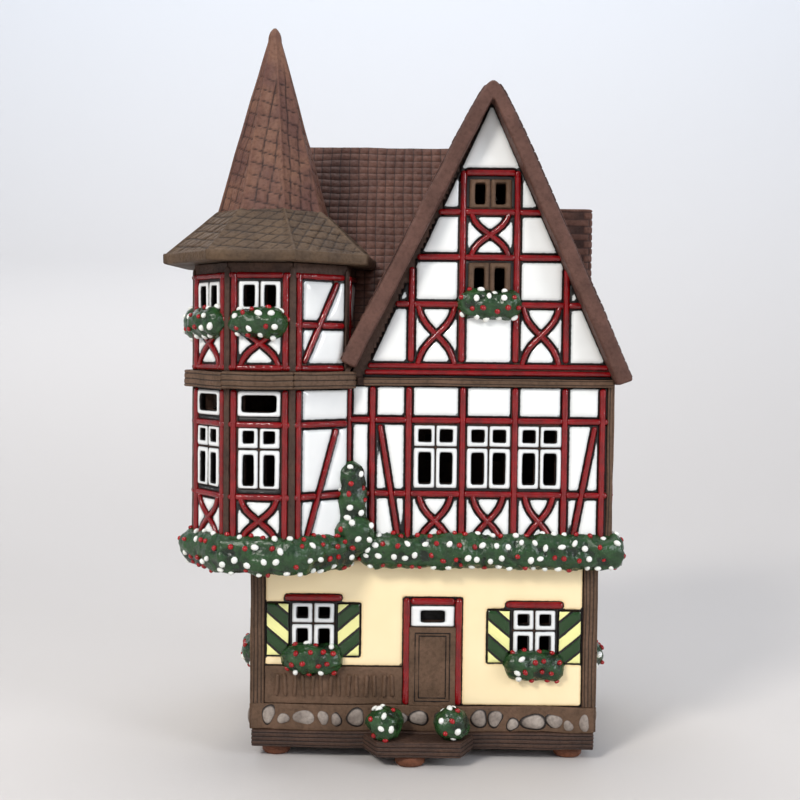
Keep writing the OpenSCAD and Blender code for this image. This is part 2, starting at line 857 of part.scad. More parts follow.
module upper_left_wall() {
    color("#e8ebe9") at_home() difference() {
        box([-upper_x, front_y + wall_t, z_walls], [wall_t - upper_x, back_y - wall_t, z_eave]);
        on_left(wall_t + over - upper_x) linear_extrude(wall_t + 2 * over)
            upper_panes(left_posts, left_windows);
        turret_space();
    }
}

module upper_back_wall() {
    color("#e8ebe9") at_home() difference() {
        box([-upper_x, back_y - wall_t, z_walls], [upper_x, back_y, z_eave]);
        on_back(back_y - wall_t - over) linear_extrude(wall_t + 2 * over)
            upper_panes(back_posts, back_windows);
    }
}

// The frames round the windows of one upper storey wall
module upper_frames(posts, bays) {
    w = 2 * upper_pane_w + upper_mullion + 2 * frame_w;
    difference() {
        for (i = bays)
            frame(bay_mid(posts, i), upper_rows[0][0], upper_rows[1][1], w);
        upper_panes(posts, bays);
    }
}

module upper_windows() {
    color("#e8ebe9") at_home() {
        on_front(front_y) linear_extrude(frame_t) upper_frames(front_posts, front_windows);
        on_right(upper_x) linear_extrude(frame_t) upper_frames(right_posts, right_windows);
        on_left(-upper_x) linear_extrude(frame_t) upper_frames(left_posts, left_windows);
        on_back(back_y) linear_extrude(frame_t) upper_frames(back_posts, back_windows);
    }
}

module upper_front_timbers() {
    color("#a01420") at_home() on_front(front_y) linear_extrude(timber_t) difference() {
        storey_frame(front_posts, front_windows, [[0, 1], [4, -1]]);
        upper_frames(front_posts, front_windows);
        upper_panes(front_posts, front_windows);
        turret_on_front();
    }
}

module upper_side_timbers() {
    color("#a01420") at_home() {
        on_right(upper_x) linear_extrude(timber_t) difference() {
            storey_frame(right_posts, right_windows, [[0, 1], [4, -1]]);
            upper_frames(right_posts, right_windows);
            upper_panes(right_posts, right_windows);
        }
        difference() {
            on_left(-upper_x) linear_extrude(timber_t) difference() {
                storey_frame(left_posts, left_windows, [[0, 1], [2, -1]]);
                upper_frames(left_posts, left_windows);
                upper_panes(left_posts, left_windows);
            }
            turret_space(timber_t);
        }
    }
}

module upper_back_timbers() {
    color("#a01420") at_home() on_back(back_y) linear_extrude(timber_t) difference() {
        storey_frame(back_posts, back_windows, [[0, 1], [2, -1], [4, 1], [6, -1]]);
        upper_frames(back_posts, back_windows);
        upper_panes(back_posts, back_windows);
    }
}

module eave_beams() {
    color("#58453a") at_home() {
        on_front(front_y) linear_extrude(beam_t) difference() {
            rect(gable_x - gable_w / 2, z_eave - beam_h, upper_x, z_eave);
            turret_on_front();
        }
        on_back(back_y) linear_extrude(beam_t)
            rect(-upper_x, z_eave - beam_h, gable_w / 2 - gable_x, z_eave);
    }
}

// ---------------------------------------------------------------- gables

module front_gable_wall() {
    color("#e8ebe9") at_home() difference() {
        on_front(front_y + wall_t) linear_extrude(wall_t) difference() {
            roof_triangle(gable_x, gable_w / 2, gable_pitch, 0);
            gable_panes(gable_x);
        }
        turret_space();
    }
}

module back_gable_wall() {
    color("#e8ebe9") at_home()
        on_back(back_y - wall_t) linear_extrude(wall_t) difference() {
            roof_triangle(-gable_x, gable_w / 2, gable_pitch, 0);
            gable_panes(-gable_x);
        }
}

module left_gable_wall() {
    color("#e8ebe9") at_home() difference() {
        on_left(wall_t - upper_x) linear_extrude(wall_t) difference() {
            roof_triangle(-mid_y, side_half, side_pitch, 0);
            gable_panes(-mid_y, side_share);
        }
        turret_space();
    }
}

// The frames round the windows of one gable
module gable_frames(u, share = 1) {
    w = 2 * small_pane_w + small_mullion + 2 * frame_w;
    difference() {
        union() {
            frame(u, peak_rows(share)[0][0], peak_rows(share)[0][1], w);
            if (share == 1)
                frame(u, gable_low_rows[0][0], gable_low_rows[0][1], w);
        }
        gable_panes(u, share);
    }
}

module gable_windows() {
    color("#6b5443") at_home() {
        on_front(front_y) linear_extrude(frame_t) gable_frames(gable_x);
        on_back(back_y) linear_extrude(frame_t) gable_frames(-gable_x);
        difference() {
            on_left(-upper_x) linear_extrude(frame_t) gable_frames(-mid_y, side_share);
            turret_space();
        }
    }
}

module front_gable_timbers() {
    color("#a01420") at_home() on_front(front_y) linear_extrude(timber_t) difference() {
        gable_frame(gable_x, gable_w / 2, gable_pitch);
        gable_frames(gable_x);
        gable_panes(gable_x);
        turret_on_front();
    }
}

module back_gable_timbers() {
    color("#a01420") at_home() on_back(back_y) linear_extrude(timber_t) difference() {
        gable_frame(-gable_x, gable_w / 2, gable_pitch);
        gable_frames(-gable_x);
        gable_panes(-gable_x);
    }
}

module left_gable_timbers() {
    color("#a01420") at_home() difference() {
        on_left(-upper_x) linear_extrude(timber_t) difference() {
            gable_frame(-mid_y, side_half, side_pitch, side_share);
            gable_frames(-mid_y, side_share);
            gable_panes(-mid_y, side_share);
        }
        turret_space(timber_t);
    }
}

module gable_flower_box() {
    color("#3c5c38") at_home() difference() {
        on_front(front_y) flower_bed(gable_x, z_eave + gable_rails[0], box_len, box_r);
        box([-upper_x, front_y - timber_t, z_eave], [upper_x, back_y, total_h]);
    }
}

// ---------------------------------------------------------------- roofs

module gable_slab(eave_out) {
    translate([0, box_back, 0]) rotate([90, 0, 0])
        linear_extrude(back_y - front_y + 2 * gable_over)
            slab_section(gable_w / 2, gable_pitch, gable_lift, eave_out);
}

module gable_roof_left() {
    color("#6a4a42") at_home() difference() {
        translate([gable_x, 0, 0]) mirror([1, 0, 0]) gable_slab(eave_out_left);
        upper_box(-timber_t);
        turret_space(timber_t);
    }
}

module gable_roof_right() {
    color("#6a4a42") at_home() difference() {
        translate([gable_x, 0, 0]) gable_slab(eave_out_right);
        flue();
    }
}

module side_slab() {
    translate([-upper_x - side_over, 0, 0]) rotate([90, 0, 90])
        linear_extrude(gable_x + upper_x + side_over)
            slab_section(side_half, side_pitch, side_lift, side_eave_out);
}

module side_roof_front() {
    color("#6a4a42") at_home() difference() {
        translate([0, mid_y, 0]) mirror([0, 1, 0]) side_slab();
        gable_space(gable_over);
        turret_space(timber_t);
        upper_box(0);
    }
}

module side_roof_back() {
    color("#6a4a42") at_home() difference() {
        translate([0, mid_y, 0]) side_slab();
        gable_space(gable_over);
    }
}

module chimney() {
    color("#6a4a42") at_home() difference() {
        translate([gable_x + chimney_off - chimney_w / 2, front_y + chimney_back - chimney_d / 2, z_eave])
            cube([chimney_w, chimney_d, chimney_top - z_eave]);
        gable_space(0);
        flue();
    }
}

// ---------------------------------------------------------------- turret

module turret_floor() {
    color("#58453a") at_home() difference() {
        octagon(turret_x, turret_a, z_upper, z_walls);
        upper_box(0);
    }
}

module turret_lower_walls() {
    color("#e8ebe9") at_home() difference() {
        for (k = lower_faces)
            ring_slab(k, turret_a, wall_t, z_walls, z_ledge);
        upper_box(wall_t);
        for (k = window_faces)
            on_face(k) translate([0, 0, -wall_t - over]) linear_extrude(wall_t + 2 * over)
                turret_low_panes();
    }
}

module turret_ledge() {
    color("#58453a") at_home()
        for (k = [0:faces - 1])
            ring_slab(k, turret_a + ledge_out, wall_t + ledge_out, z_ledge, z_turret);
}

module turret_upper_walls() {
    color("#e8ebe9") at_home() difference() {
        for (k = [0:faces - 1])
            ring_slab(k, turret_a, wall_t, z_turret, z_skirt);
        for (k = window_faces)
            on_face(k) translate([0, 0, -wall_t - over]) linear_extrude(wall_t + 2 * over)
                turret_high_panes();
    }
}

// The frames round the windows of one turret face
module turret_low_frames() {
    w = 2 * small_pane_w + small_mullion + 2 * frame_w;
    difference() {
        union() {
            frame(0, turret_low_rows[0][0], turret_low_rows[1][1], w);
            frame(0, z_upper + turret_fan_sill, z_upper + turret_fan_sill + turret_fan_h,
                turret_fan_w + 2 * frame_w);
        }
        turret_low_panes();
    }
}

module turret_high_frames() {
    w = 2 * small_pane_w + small_mullion + 2 * frame_w;
    difference() {
        frame(0, turret_high_rows[0][0], turret_high_rows[0][1], w);
        turret_high_panes();
    }
}

module turret_windows() {
    color("#e8ebe9") at_home()
        for (k = window_faces)
            on_face(k) linear_extrude(frame_t) {
                turret_low_frames();
                turret_high_frames();
            }
}

// Timbers of a turret face, with windows or with one slanted brace a storey
module turret_face_timbers(windows) {
    z_low = z_upper + low_rail_h;
    z_high = z_upper + high_rail_h - timber_w / 2;
    z_sill = z_turret + turret_high_sill - frame_w - timber_w;
    z_top = z_skirt - turret_band_h;
    reach = face_half - timber_w - brace_w / 2;
    difference() {
        union() {
            face_frame(z_walls, z_ledge, [z_low, z_high, z_ledge - timber_w / 2])
                if (windows)
                    cross_brace(-reach, z_walls, reach, z_low);
                else
                    bar([-reach, z_walls], [reach, z_high], brace_w);
            face_frame(z_turret, z_top,
                [z_turret + timber_w / 2, windows ? z_sill : z_turret + plain_rail_h,
                    z_top - timber_w / 2])
                if (windows)
                    cross_brace(-reach, z_turret, reach, z_sill);
                else
                    bar([-reach, z_turret], [reach, z_top], brace_w);
        }
        if (windows) {
            turret_low_frames();
            turret_high_frames();
            turret_low_panes();
            turret_high_panes();
        }
    }
}

module turret_timbers() {
    color("#a01420") at_home() difference() {
        union() {
            for (k = window_faces)
                on_face(k) linear_extrude(timber_t) turret_face_timbers(true);
            for (k = plain_faces)
                on_face(k) linear_extrude(timber_t) turret_face_timbers(false);
        }
        upper_box(0, z_skirt);
    }
}

module turret_flower_boxes() {
    color("#3c5c38") at_home()
        for (k = window_faces)
            difference() {
                on_face(k)
                    flower_bed(0, z_turret + turret_high_sill - box_r, 2 * face_half - timber_w, box_r);
                octagon(turret_x, turret_a + timber_t, z_turret, z_skirt);
            }
}

// The skirt of the turret's roof, laid as eight slabs
module turret_skirt_roof() {
    color("#6a4a42") at_home() difference() {
        intersection() {
            difference() {
                skirt_outside(0);
                translate([0, 0, -over]) skirt_outside(roof_t + over);
            }
            for (k = [0:faces - 1])
                ring_wedge(k);
        }
        side_attic(0);
    }
}

// One eighth of the plan, less the gap between two slabs
module ring_wedge(k) {
    reach = eave_r + over;
    translate([roof_x, turret_y, z_skirt - over]) rotate(k * face_turn - turret_turn - 90)
        linear_extrude(eave_h + skirt_h + over)
            polygon([[joint_gap, 0], [reach, -(reach - joint_gap) * tan(half_turn)],
                [reach, (reach - joint_gap) * tan(half_turn)]]);
}

module turret_spire() {
    cone_h = total_h - tip_r - z_spire;
    color("#6a4a42") at_home() difference() {
        union() {
            spire_outside(0, cone_h);
            translate([roof_x, turret_y, total_h - tip_r]) sphere(r = tip_r, $fn = round_fn);
        }
        translate([0, 0, -over]) spire_outside(roof_t + over, cone_h / 2);
    }
}

// ---------------------------------------------------------------- garland

module garland() {
    middle = z_walls;
    color("#3c5c38") at_home() difference() {
        union() {
            on_front(front_y)
                flower_bed((garland_start + upper_x) / 2, middle, upper_x - garland_start, garland_r);
            on_right(upper_x) flower_bed(mid_y, middle, 2 * side_half, garland_r);
            on_back(back_y) flower_bed(0, middle, 2 * upper_x, garland_r);
            on_left(-upper_x)
                flower_bed(-(left_start_y + garland_r + back_y) / 2, middle,
                    back_y - left_start_y - garland_r, garland_r);
            for (k = garland_faces)
                ring_slab(k, turret_a + turret_garland_t, turret_garland_t,
                    middle - garland_r, middle - garland_r + turret_garland_h);
        }
        box([-upper_x, front_y, z_ground], [upper_x, back_y, z_eave]);
        box([-upper_x - timber_t, front_y - timber_t, z_walls],
            [upper_x + timber_t, back_y + timber_t, z_eave]);
        octagon(turret_x, turret_a + timber_t, z_walls, z_ledge);
    }
}

module climbing_flowers() {
    color("#3c5c38") at_home() difference() {
        translate([turret_x + turret_a + over, front_y - climber_r / 2, climber_z])
            cylinder(h = z_walls + climber_h - climber_z, r = climber_r, $fn = round_fn);
        octagon(turret_x, turret_a + timber_t, 0, z_skirt);
        box([-upper_x, front_y - timber_t, 0], [upper_x, back_y, z_eave]);
    }
}

base_plate();
base_feet();
front_step();
ground_front_wall();
ground_left_wall();
ground_right_wall();
ground_back_wall();
stone_band();
sign_board();
front_door();
ground_windows();
ground_shutters();
ground_flower_boxes();
step_bushes();
jetty_slab();
upper_front_wall();
upper_right_wall();
upper_left_wall();
upper_back_wall();
upper_windows();
upper_front_timbers();
upper_side_timbers();
upper_back_timbers();
eave_beams();
front_gable_wall();
back_gable_wall();
left_gable_wall();
gable_windows();
front_gable_timbers();
back_gable_timbers();
left_gable_timbers();
gable_flower_box();
gable_roof_left();
gable_roof_right();
side_roof_front();
side_roof_back();
chimney();
turret_floor();
turret_lower_walls();
turret_ledge();
turret_upper_walls();
turret_windows();
turret_timbers();
turret_flower_boxes();
turret_skirt_roof();
turret_spire();
garland();
climbing_flowers();
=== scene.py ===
"""The looks of a half timbered tealight house in glazed ceramic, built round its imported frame.

Points are worked out in millimetres from the middle of the ground floor's front, with x to the
right, y to the back and z up, and are moved into the frame when a piece is finished.
"""

from __future__ import annotations

import logging
import math
from dataclasses import dataclass, field
from enum import Enum
from typing import Sequence

import bpy
import numpy as np
from mathutils import Euler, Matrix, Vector


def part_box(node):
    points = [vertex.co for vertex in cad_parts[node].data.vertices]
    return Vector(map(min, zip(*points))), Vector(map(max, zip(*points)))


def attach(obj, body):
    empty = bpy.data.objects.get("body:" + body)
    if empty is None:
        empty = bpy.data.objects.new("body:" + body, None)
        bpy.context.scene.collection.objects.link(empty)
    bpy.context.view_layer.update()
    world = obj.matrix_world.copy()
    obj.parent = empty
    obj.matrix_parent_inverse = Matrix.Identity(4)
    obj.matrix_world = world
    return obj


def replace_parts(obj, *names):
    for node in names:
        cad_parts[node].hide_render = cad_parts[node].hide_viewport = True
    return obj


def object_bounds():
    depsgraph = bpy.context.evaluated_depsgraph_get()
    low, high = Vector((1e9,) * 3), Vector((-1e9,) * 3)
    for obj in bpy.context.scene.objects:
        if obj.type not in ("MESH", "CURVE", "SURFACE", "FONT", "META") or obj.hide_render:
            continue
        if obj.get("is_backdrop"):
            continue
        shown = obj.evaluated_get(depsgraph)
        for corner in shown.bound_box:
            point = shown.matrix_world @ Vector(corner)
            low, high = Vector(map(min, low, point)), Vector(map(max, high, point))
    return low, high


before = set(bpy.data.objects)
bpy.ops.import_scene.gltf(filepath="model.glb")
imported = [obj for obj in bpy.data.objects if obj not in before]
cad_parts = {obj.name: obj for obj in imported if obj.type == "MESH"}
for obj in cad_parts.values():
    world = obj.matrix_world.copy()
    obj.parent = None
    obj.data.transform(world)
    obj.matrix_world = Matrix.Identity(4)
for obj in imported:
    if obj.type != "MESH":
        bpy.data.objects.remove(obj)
CAD_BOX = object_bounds()
LOG = logging.getLogger("tealight_house")
MM = 0.001
HALF_CORNER = math.radians(22.5)  # half the turn from one face of the turret to the next
Array = np.ndarray
Quad = tuple[float, float, float, float]
Area = Quad  # u0, v0, u1, v1 on a face


# ------------------------------------------------------------------ sizes


@dataclass(frozen=True)
class Sizes:
    """The house's own sizes in millimetres, as the clay slabs were cut."""

    half_w: float = 61.5
    depth: float = 86.0
    front_y: float = -4.0
    back_y: float = 90.0
    upper_x: float = 65.5
    z_ground: float = 10.0
    z_band: float = 19.3
    z_upper: float = 72.0
    z_walls: float = 76.0
    z_eave: float = 137.0
    z_ledge: float = 133.0
    z_turret: float = 138.8
    z_skirt: float = 175.7
    z_spire: float = 194.5
    beam_h: float = 2.8
    timber: float = 2.6
    brace: float = 2.2
    gable_x: float = 21.484
    gable_half: float = 44.016
    gable_pitch: float = 65.5
    gable_rise: float = 90.246
    side_half: float = 47.0
    side_pitch: float = 59.0
    roof_t: float = 5.0
    roof_front: float = -12.0
    roof_len: float = 110.0
    door_r: float = 25.0
    door_spring: float = 31.0
    chimney: tuple[float, float, float] = (54.984, 37.0, 200.5)
    turret_x: float = -54.192
    turret_y: float = 7.308
    turret_a: float = 27.3
    turret_turn: float = 6.0
    roof_x: float = -55.492
    pitches: tuple[float, float] = (63.4, 65.6)
    reaches: tuple[float, float] = (46.9, 44.6)
    ridge: float = 233.6
    slab_t: float = 5.6
    peak: float = 239.4

    @property
    def outer_tops(self) -> tuple[float, float]:
        """Where the upper surfaces of the gable roof's left and right sides would meet the middle."""
        tops = [self.ridge + self.slab_t / math.cos(math.radians(p)) for p in self.pitches]
        return tops[0], tops[1]

    @property
    def mid_y(self) -> float:
        """The middle of the upper storey from front to back."""
        return (self.front_y + self.back_y) / 2

    @property
    def side_share(self) -> float:
        """The left gable's rise as a share of the front one's."""
        side = self.side_half * math.tan(math.radians(self.side_pitch))
        return side / self.gable_rise

    @property
    def face_half(self) -> float:
        """Half the width of one turret face."""
        return self.turret_a * math.tan(HALF_CORNER)


SIZE = Sizes()


def frame_shift() -> Array:
    """Finds how far the house's own origin lies from the frame's, from the front wall's corner.

    Returns:
        The shift in millimetres to add to a point of the house.
    """
    low = np.array(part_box("ground_front_wall")[0]) / MM
    return low - np.array([-SIZE.half_w, 0.0, SIZE.z_ground])


SHIFT = frame_shift()


# ------------------------------------------------------------------ shapes


def noise(points: Array, scale: float, seed: int = 0) -> Array:
    """Smooth noise: random values at the corners of cubes, blended with a cubic ease.

    Args:
        points: Places in millimetres, one a row.
        scale: Side of a cube in millimetres.
        seed: Which pattern of random values.

    Returns:
        One value from -1 to 1 for each place.
    """
    cell = points / scale
    base = np.floor(cell).astype(np.int64)
    ease = (cell - base) ** 2 * (3 - 2 * (cell - base))
    total = np.zeros(len(points))
    for corner in range(8):
        step = np.array([corner & 1, corner >> 1 & 1, corner >> 2 & 1])
        key = (base + step) @ np.array([73856093, 19349663, 83492791]) + seed * 83761
        key = (key ^ (key >> 13)) * 1274126177
        key = (key ^ (key >> 16)) & 0xFFFF
        total += np.prod(np.where(step, ease, 1 - ease), axis=1) * (key / 32767.5 - 1)
    return total


def wander(points: Array, scale: float, seed: int = 0) -> Array:
    """Three independent noises, as a small push in x, y and z for each place."""
    return np.stack([noise(points, scale, seed + i) for i in range(3)], axis=1)


def grid_quads(rows: int, cols: int, ring_rows: bool = False, ring_cols: bool = False) -> Array:
    """Faces of a grid whose point (row, col) is number row * cols + col.

    Args:
        rows: Points along the first way.
        cols: Points along the second way.
        ring_rows: Whether the last row joins the first.
        ring_cols: Whether the last column joins the first.

    Returns:
        Four point numbers a face, turning from the column way to the row way.
    """
    r, c = np.meshgrid(
        np.arange(rows if ring_rows else rows - 1),
        np.arange(cols if ring_cols else cols - 1),
        indexing="ij",
    )
    r1, c1 = (r + 1) % rows, (c + 1) % cols
    corners = [r * cols + c, r * cols + c1, r1 * cols + c1, r1 * cols + c]
    return np.stack(corners, axis=-1).reshape(-1, 4)


def fan(ring: Array, pole: int, outward: bool) -> Array:
    """Three cornered faces that close a ring of points to its pole."""
    turned = np.roll(ring, -1)
    pair = (ring, turned) if outward else (turned, ring)
    return np.stack([pair[0], pair[1], np.full(len(ring), pole)], axis=1)


def capped(rows: int, cols: int, first: int = 0, turned: bool = False) -> list[Array]:
    """Faces of a tube of rings, whose end rings close to two poles numbered after the rings.

    Args:
        rows: Rings of points.
        cols: Points on each ring.
        first: Which pole, 0 or 1, the first ring closes to. The last ring closes to the other.
        turned: Whether the rings run the other way round.

    Returns:
        The faces between the rings and those at the poles.
    """
    ring, count = np.arange(cols), rows * cols
    quads = grid_quads(rows, cols, ring_cols=True)
    low = fan(ring, count + first, turned)
    high = fan(ring + count - cols, count + 1 - first, not turned)
    return [quads[:, ::-1] if turned else quads, low, high]


@dataclass
class Shape:
    """A mesh put together from whole arrays of points and faces, in millimetres."""

    points: list[Array] = field(default_factory=list)
    faces: list[Array] = field(default_factory=list)
    marks: list[Array] = field(default_factory=list)
    rims: list[Array] = field(default_factory=list)
    dents: list[Array] = field(default_factory=list)
    flats: list[Array] = field(default_factory=list)
    count: int = 0

    def add(
        self,
        points: Array,
        faces: Sequence[Array],
        mark: int = 0,
        rim: Array | float = 9.0,
        dent: Array | float = 0.0,
        flat: Array | None = None,
    ) -> None:
        """Adds points and the faces between them, leaving out points that no face uses.

        Args:
            points: Places, one a row.
            faces: Arrays of point numbers, each array with its own number of corners.
            mark: Which of the piece's finishes the faces have.
            rim: Distance from each point to the edge of its field of glaze.
            dent: How deep in a groove each point lies, from 0 to 1.
            flat: Each point's place on the flat pattern, where there is one.
        """
        used = np.unique(np.concatenate([f.ravel() for f in faces]))
        number = np.zeros(len(points), np.int64)
        number[used] = np.arange(len(used)) + self.count
        spread = np.zeros((len(points), 2)) if flat is None else flat
        self.points.append(points[used])
        self.rims.append(np.broadcast_to(rim, len(points))[used])
        self.dents.append(np.broadcast_to(dent, len(points))[used])
        self.flats.append(spread[used])
        for f in faces:
            self.faces.append(number[f])
            self.marks.append(np.full(len(f), mark))
        self.count += len(used)

    def build(
        self, name: str, finishes: Sequence[bpy.types.Material], slot: str
    ) -> bpy.types.Object:
        """Makes the piece: one object at the origin, with its place in its mesh.

        Args:
            name: The piece's name.
            finishes: The materials that the marks number.
            slot: Not used.

        Returns:
            The new object, riding on the house.
        """
        mesh = bpy.data.meshes.new(name)
        points = (np.concatenate(self.points) + SHIFT) * MM
        loops = np.concatenate([f.ravel() for f in self.faces])
        sizes = np.concatenate([np.full(len(f), f.shape[1]) for f in self.faces])
        mesh.vertices.add(len(points))
        mesh.vertices.foreach_set("co", points.astype(np.float32).ravel())
        mesh.loops.add(len(loops))
        mesh.loops.foreach_set("vertex_index", loops.astype(np.int32))
        mesh.polygons.add(len(sizes))
        starts = np.concatenate([[0], np.cumsum(sizes)[:-1]])
        mesh.polygons.foreach_set("loop_start", starts.astype(np.int32))
        for finish in finishes:
            mesh.materials.append(finish)
        marks = np.concatenate(self.marks).astype(np.int32)
        mesh.polygons.foreach_set("material_index", marks)
        mesh.polygons.foreach_set("use_smooth", np.ones(len(sizes), bool))
        for label, parts in (("rim", self.rims), ("dent", self.dents)):
            values = np.concatenate(parts).astype(np.float32)
            mesh.attributes.new(label, "FLOAT", "POINT").data.foreach_set("value", values)
        spread = np.concatenate(self.flats)[loops]
        mesh.uv_layers.new(name="flat").data.foreach_set("uv", spread.astype(np.float32).ravel())
        mesh.update(calc_edges=True)
        piece = bpy.data.objects.new(name, mesh)
        bpy.context.scene.collection.objects.link(piece)
        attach(piece, "root")
        LOG.info("%s: %d faces", name, len(sizes))
        return piece


def closed_sheet(
    shape: Shape, front: Array, back: Array, keep: Array, block: int = 1, **values: Array | int
) -> None:
    """Adds a relief with its own back and sides, so that it is a closed skin.

    The front is a grid of small cells. The back has one face for each block of cells, and a side
    face joins a block's edge to its back wherever the next block is left out.

    Args:
        shape: The mesh to add to.
        front: Points of the relief, by row and column.
        back: Points behind them.
        keep: Which blocks of cells are there, by row and column.
        block: How many cells a block has each way.
        values: What Shape.add takes, each with one value a point of the front.
    """
    rows, cols = front.shape[:2]
    number = np.arange(rows * cols).reshape(rows, cols)
    cells = np.kron(keep, np.ones((block, block), bool))
    faces = [grid_quads(rows, cols)[cells.ravel()]]
    i, j = np.nonzero(keep)
    r, c, behind = i * block, j * block, rows * cols
    back_corners = [(0, 0), (block, 0), (block, block), (0, block)]
    faces.append(np.stack([number[r + a, c + b] + behind for a, b in back_corners], axis=1))
    padded = np.pad(keep, 1)
    sides = {
        (-1, 0): [(0, k) for k in range(block, -1, -1)],
        (0, 1): [(k, block) for k in range(block, -1, -1)],
        (1, 0): [(block, k) for k in range(block + 1)],
        (0, -1): [(k, 0) for k in range(block + 1)],
    }
    for (di, dj), run in sides.items():
        open_side = ~padded[i + 1 + di, j + 1 + dj]
        ri, ci = r[open_side], c[open_side]
        if len(ri):
            top = [number[ri + a, ci + b] for a, b in run]
            ends = [number[ri + a, ci + b] + behind for a, b in (run[-1], run[0])]
            faces.append(np.stack(top + ends, axis=1))
    both = {
        k: np.concatenate(
            [v.reshape(rows * cols, -1).squeeze()] * 2
        ) if isinstance(v, np.ndarray) else v
        for k, v in values.items()
    }
    points = np.concatenate([front.reshape(-1, 3), back.reshape(-1, 3)])
    shape.add(points, faces, **both)


@dataclass(frozen=True)
class Face:
    """A flat side: the point it is measured from and the heading of its outward normal."""

    x: float
    y: float
    heading: float

    @property
    def out(self) -> Array:
        """The way out of the face."""
        return np.array(
            [math.cos(math.radians(self.heading)), math.sin(math.radians(self.heading)), 0]
        )

    @property
    def along(self) -> Array:
        """The way along the face, to the right of someone who looks at it."""
        return np.array([-self.out[1], self.out[0], 0])

    def place(self, u: Array, v: Array, w: Array | float = 0.0) -> Array:
        """Points at u along the face, at height v and w out of it."""
        u, v, w = np.broadcast_arrays(np.asarray(u, float), v, w)
        start = np.array([self.x, self.y, 0.0])
        rise = v[..., None] * np.array([0.0, 0.0, 1.0])
        return start + u[..., None] * self.along + rise + w[..., None] * self.out


def turret_face(k: int, apothem: float = SIZE.turret_a) -> Face:
    """Face number k of the turret, at a distance from its axis. Face 0 looks to the front."""
    heading = 45.0 * k - 90.0 - SIZE.turret_turn
    angle = math.radians(heading)
    return Face(
        SIZE.turret_x + apothem * math.cos(angle), SIZE.turret_y + apothem * math.sin(angle), heading
    )


def turret_corner(k: int) -> Face:
    """The upright edge between faces k and k + 1 of the turret, looking half way between them."""
    radius, heading = SIZE.turret_a / math.cos(HALF_CORNER), turret_face(k).heading + 22.5
    x = SIZE.turret_x + radius * math.cos(math.radians(heading))
    y = SIZE.turret_y + radius * math.sin(math.radians(heading))
    return Face(x, y, heading)


FRONT = Face(0.0, SIZE.front_y, -90.0)
RIGHT = Face(SIZE.upper_x, 0.0, 0.0)
BACK = Face(0.0, SIZE.back_y, 90.0)
LEFT = Face(-SIZE.upper_x, 0.0, 180.0)
GROUND_FRONT = Face(0.0, 0.0, -90.0)
GROUND_RIGHT = Face(SIZE.half_w, 0.0, 0.0)
GROUND_BACK = Face(0.0, SIZE.depth, 90.0)
GROUND_LEFT = Face(-SIZE.half_w, 0.0, 180.0)


# ------------------------------------------------------------------ glaze and timbers


@dataclass(frozen=True)
class Bar:
    """A timber on a face: the points of its line and its width."""

    line: Array
    width: float

    def near(self, u: Array, v: Array) -> Array:
        """How far each point is from the timber's edge, below 0 on it.

        The timber is a run of straight parts with round ends, so the distance is the least one to
        a part, less half the width.
        """
        a, b = self.line[:-1], self.line[1:]
        step = b - a
        du, dv = u[..., None] - a[:, 0], v[..., None] - a[:, 1]
        share = (du * step[:, 0] + dv * step[:, 1]) / np.maximum((step**2).sum(axis=1), 1e-9)
        share = np.clip(share, 0, 1)
        gap = np.hypot(du - share * step[:, 0], dv - share * step[:, 1])
        return gap.min(axis=-1) - self.width / 2


def straight(u0: float, v0: float, u1: float, v1: float, width: float = SIZE.timber) -> Bar:
    """A straight timber between two outer ends."""
    a, b = np.array([u0, v0]), np.array([u1, v1])
    inset = (b - a) / np.linalg.norm(b - a) * min(width / 2, np.linalg.norm(b - a) / 2 - 0.05)
    return Bar(np.stack([a + inset, b - inset]), width)


def crossed(u0: float, v0: float, u1: float, v1: float, bend: float = 0.62) -> list[Bar]:
    """Two braces that cross, each bent like an S: across = t - bend sin(2 pi t) / (2 pi)."""
    t = np.linspace(0, 1, 13)
    across = t - bend * np.sin(2 * math.pi * t) / (2 * math.pi)
    rise = v1 + (v0 - v1) * t
    ways = (u0 + (u1 - u0) * across, u1 + (u0 - u1) * across)
    return [Bar(np.stack([way, rise], axis=1), SIZE.brace) for way in ways]


def rail(
    v: float, u0: float, u1: float, breaks: Sequence[float], width: float = SIZE.timber
) -> list[Bar]:
    """A rail in lengths that stop short of the posts that break it.

    Args:
        v: Height of the rail's middle.
        u0: Its left end.
        u1: Its right end.
        breaks: Where posts cross it.
        width: Its width.

    Returns:
        One timber for each length.
    """
    clear = 0.3
    inside = sorted(b for b in breaks if u0 - clear < b < u1 + clear)
    starts = [u0] + [b + clear for b in inside]
    ends = [b - clear for b in inside] + [u1]
    return [straight(a, v, b, v, width) for a, b in zip(starts, ends) if b - a > 0.8]


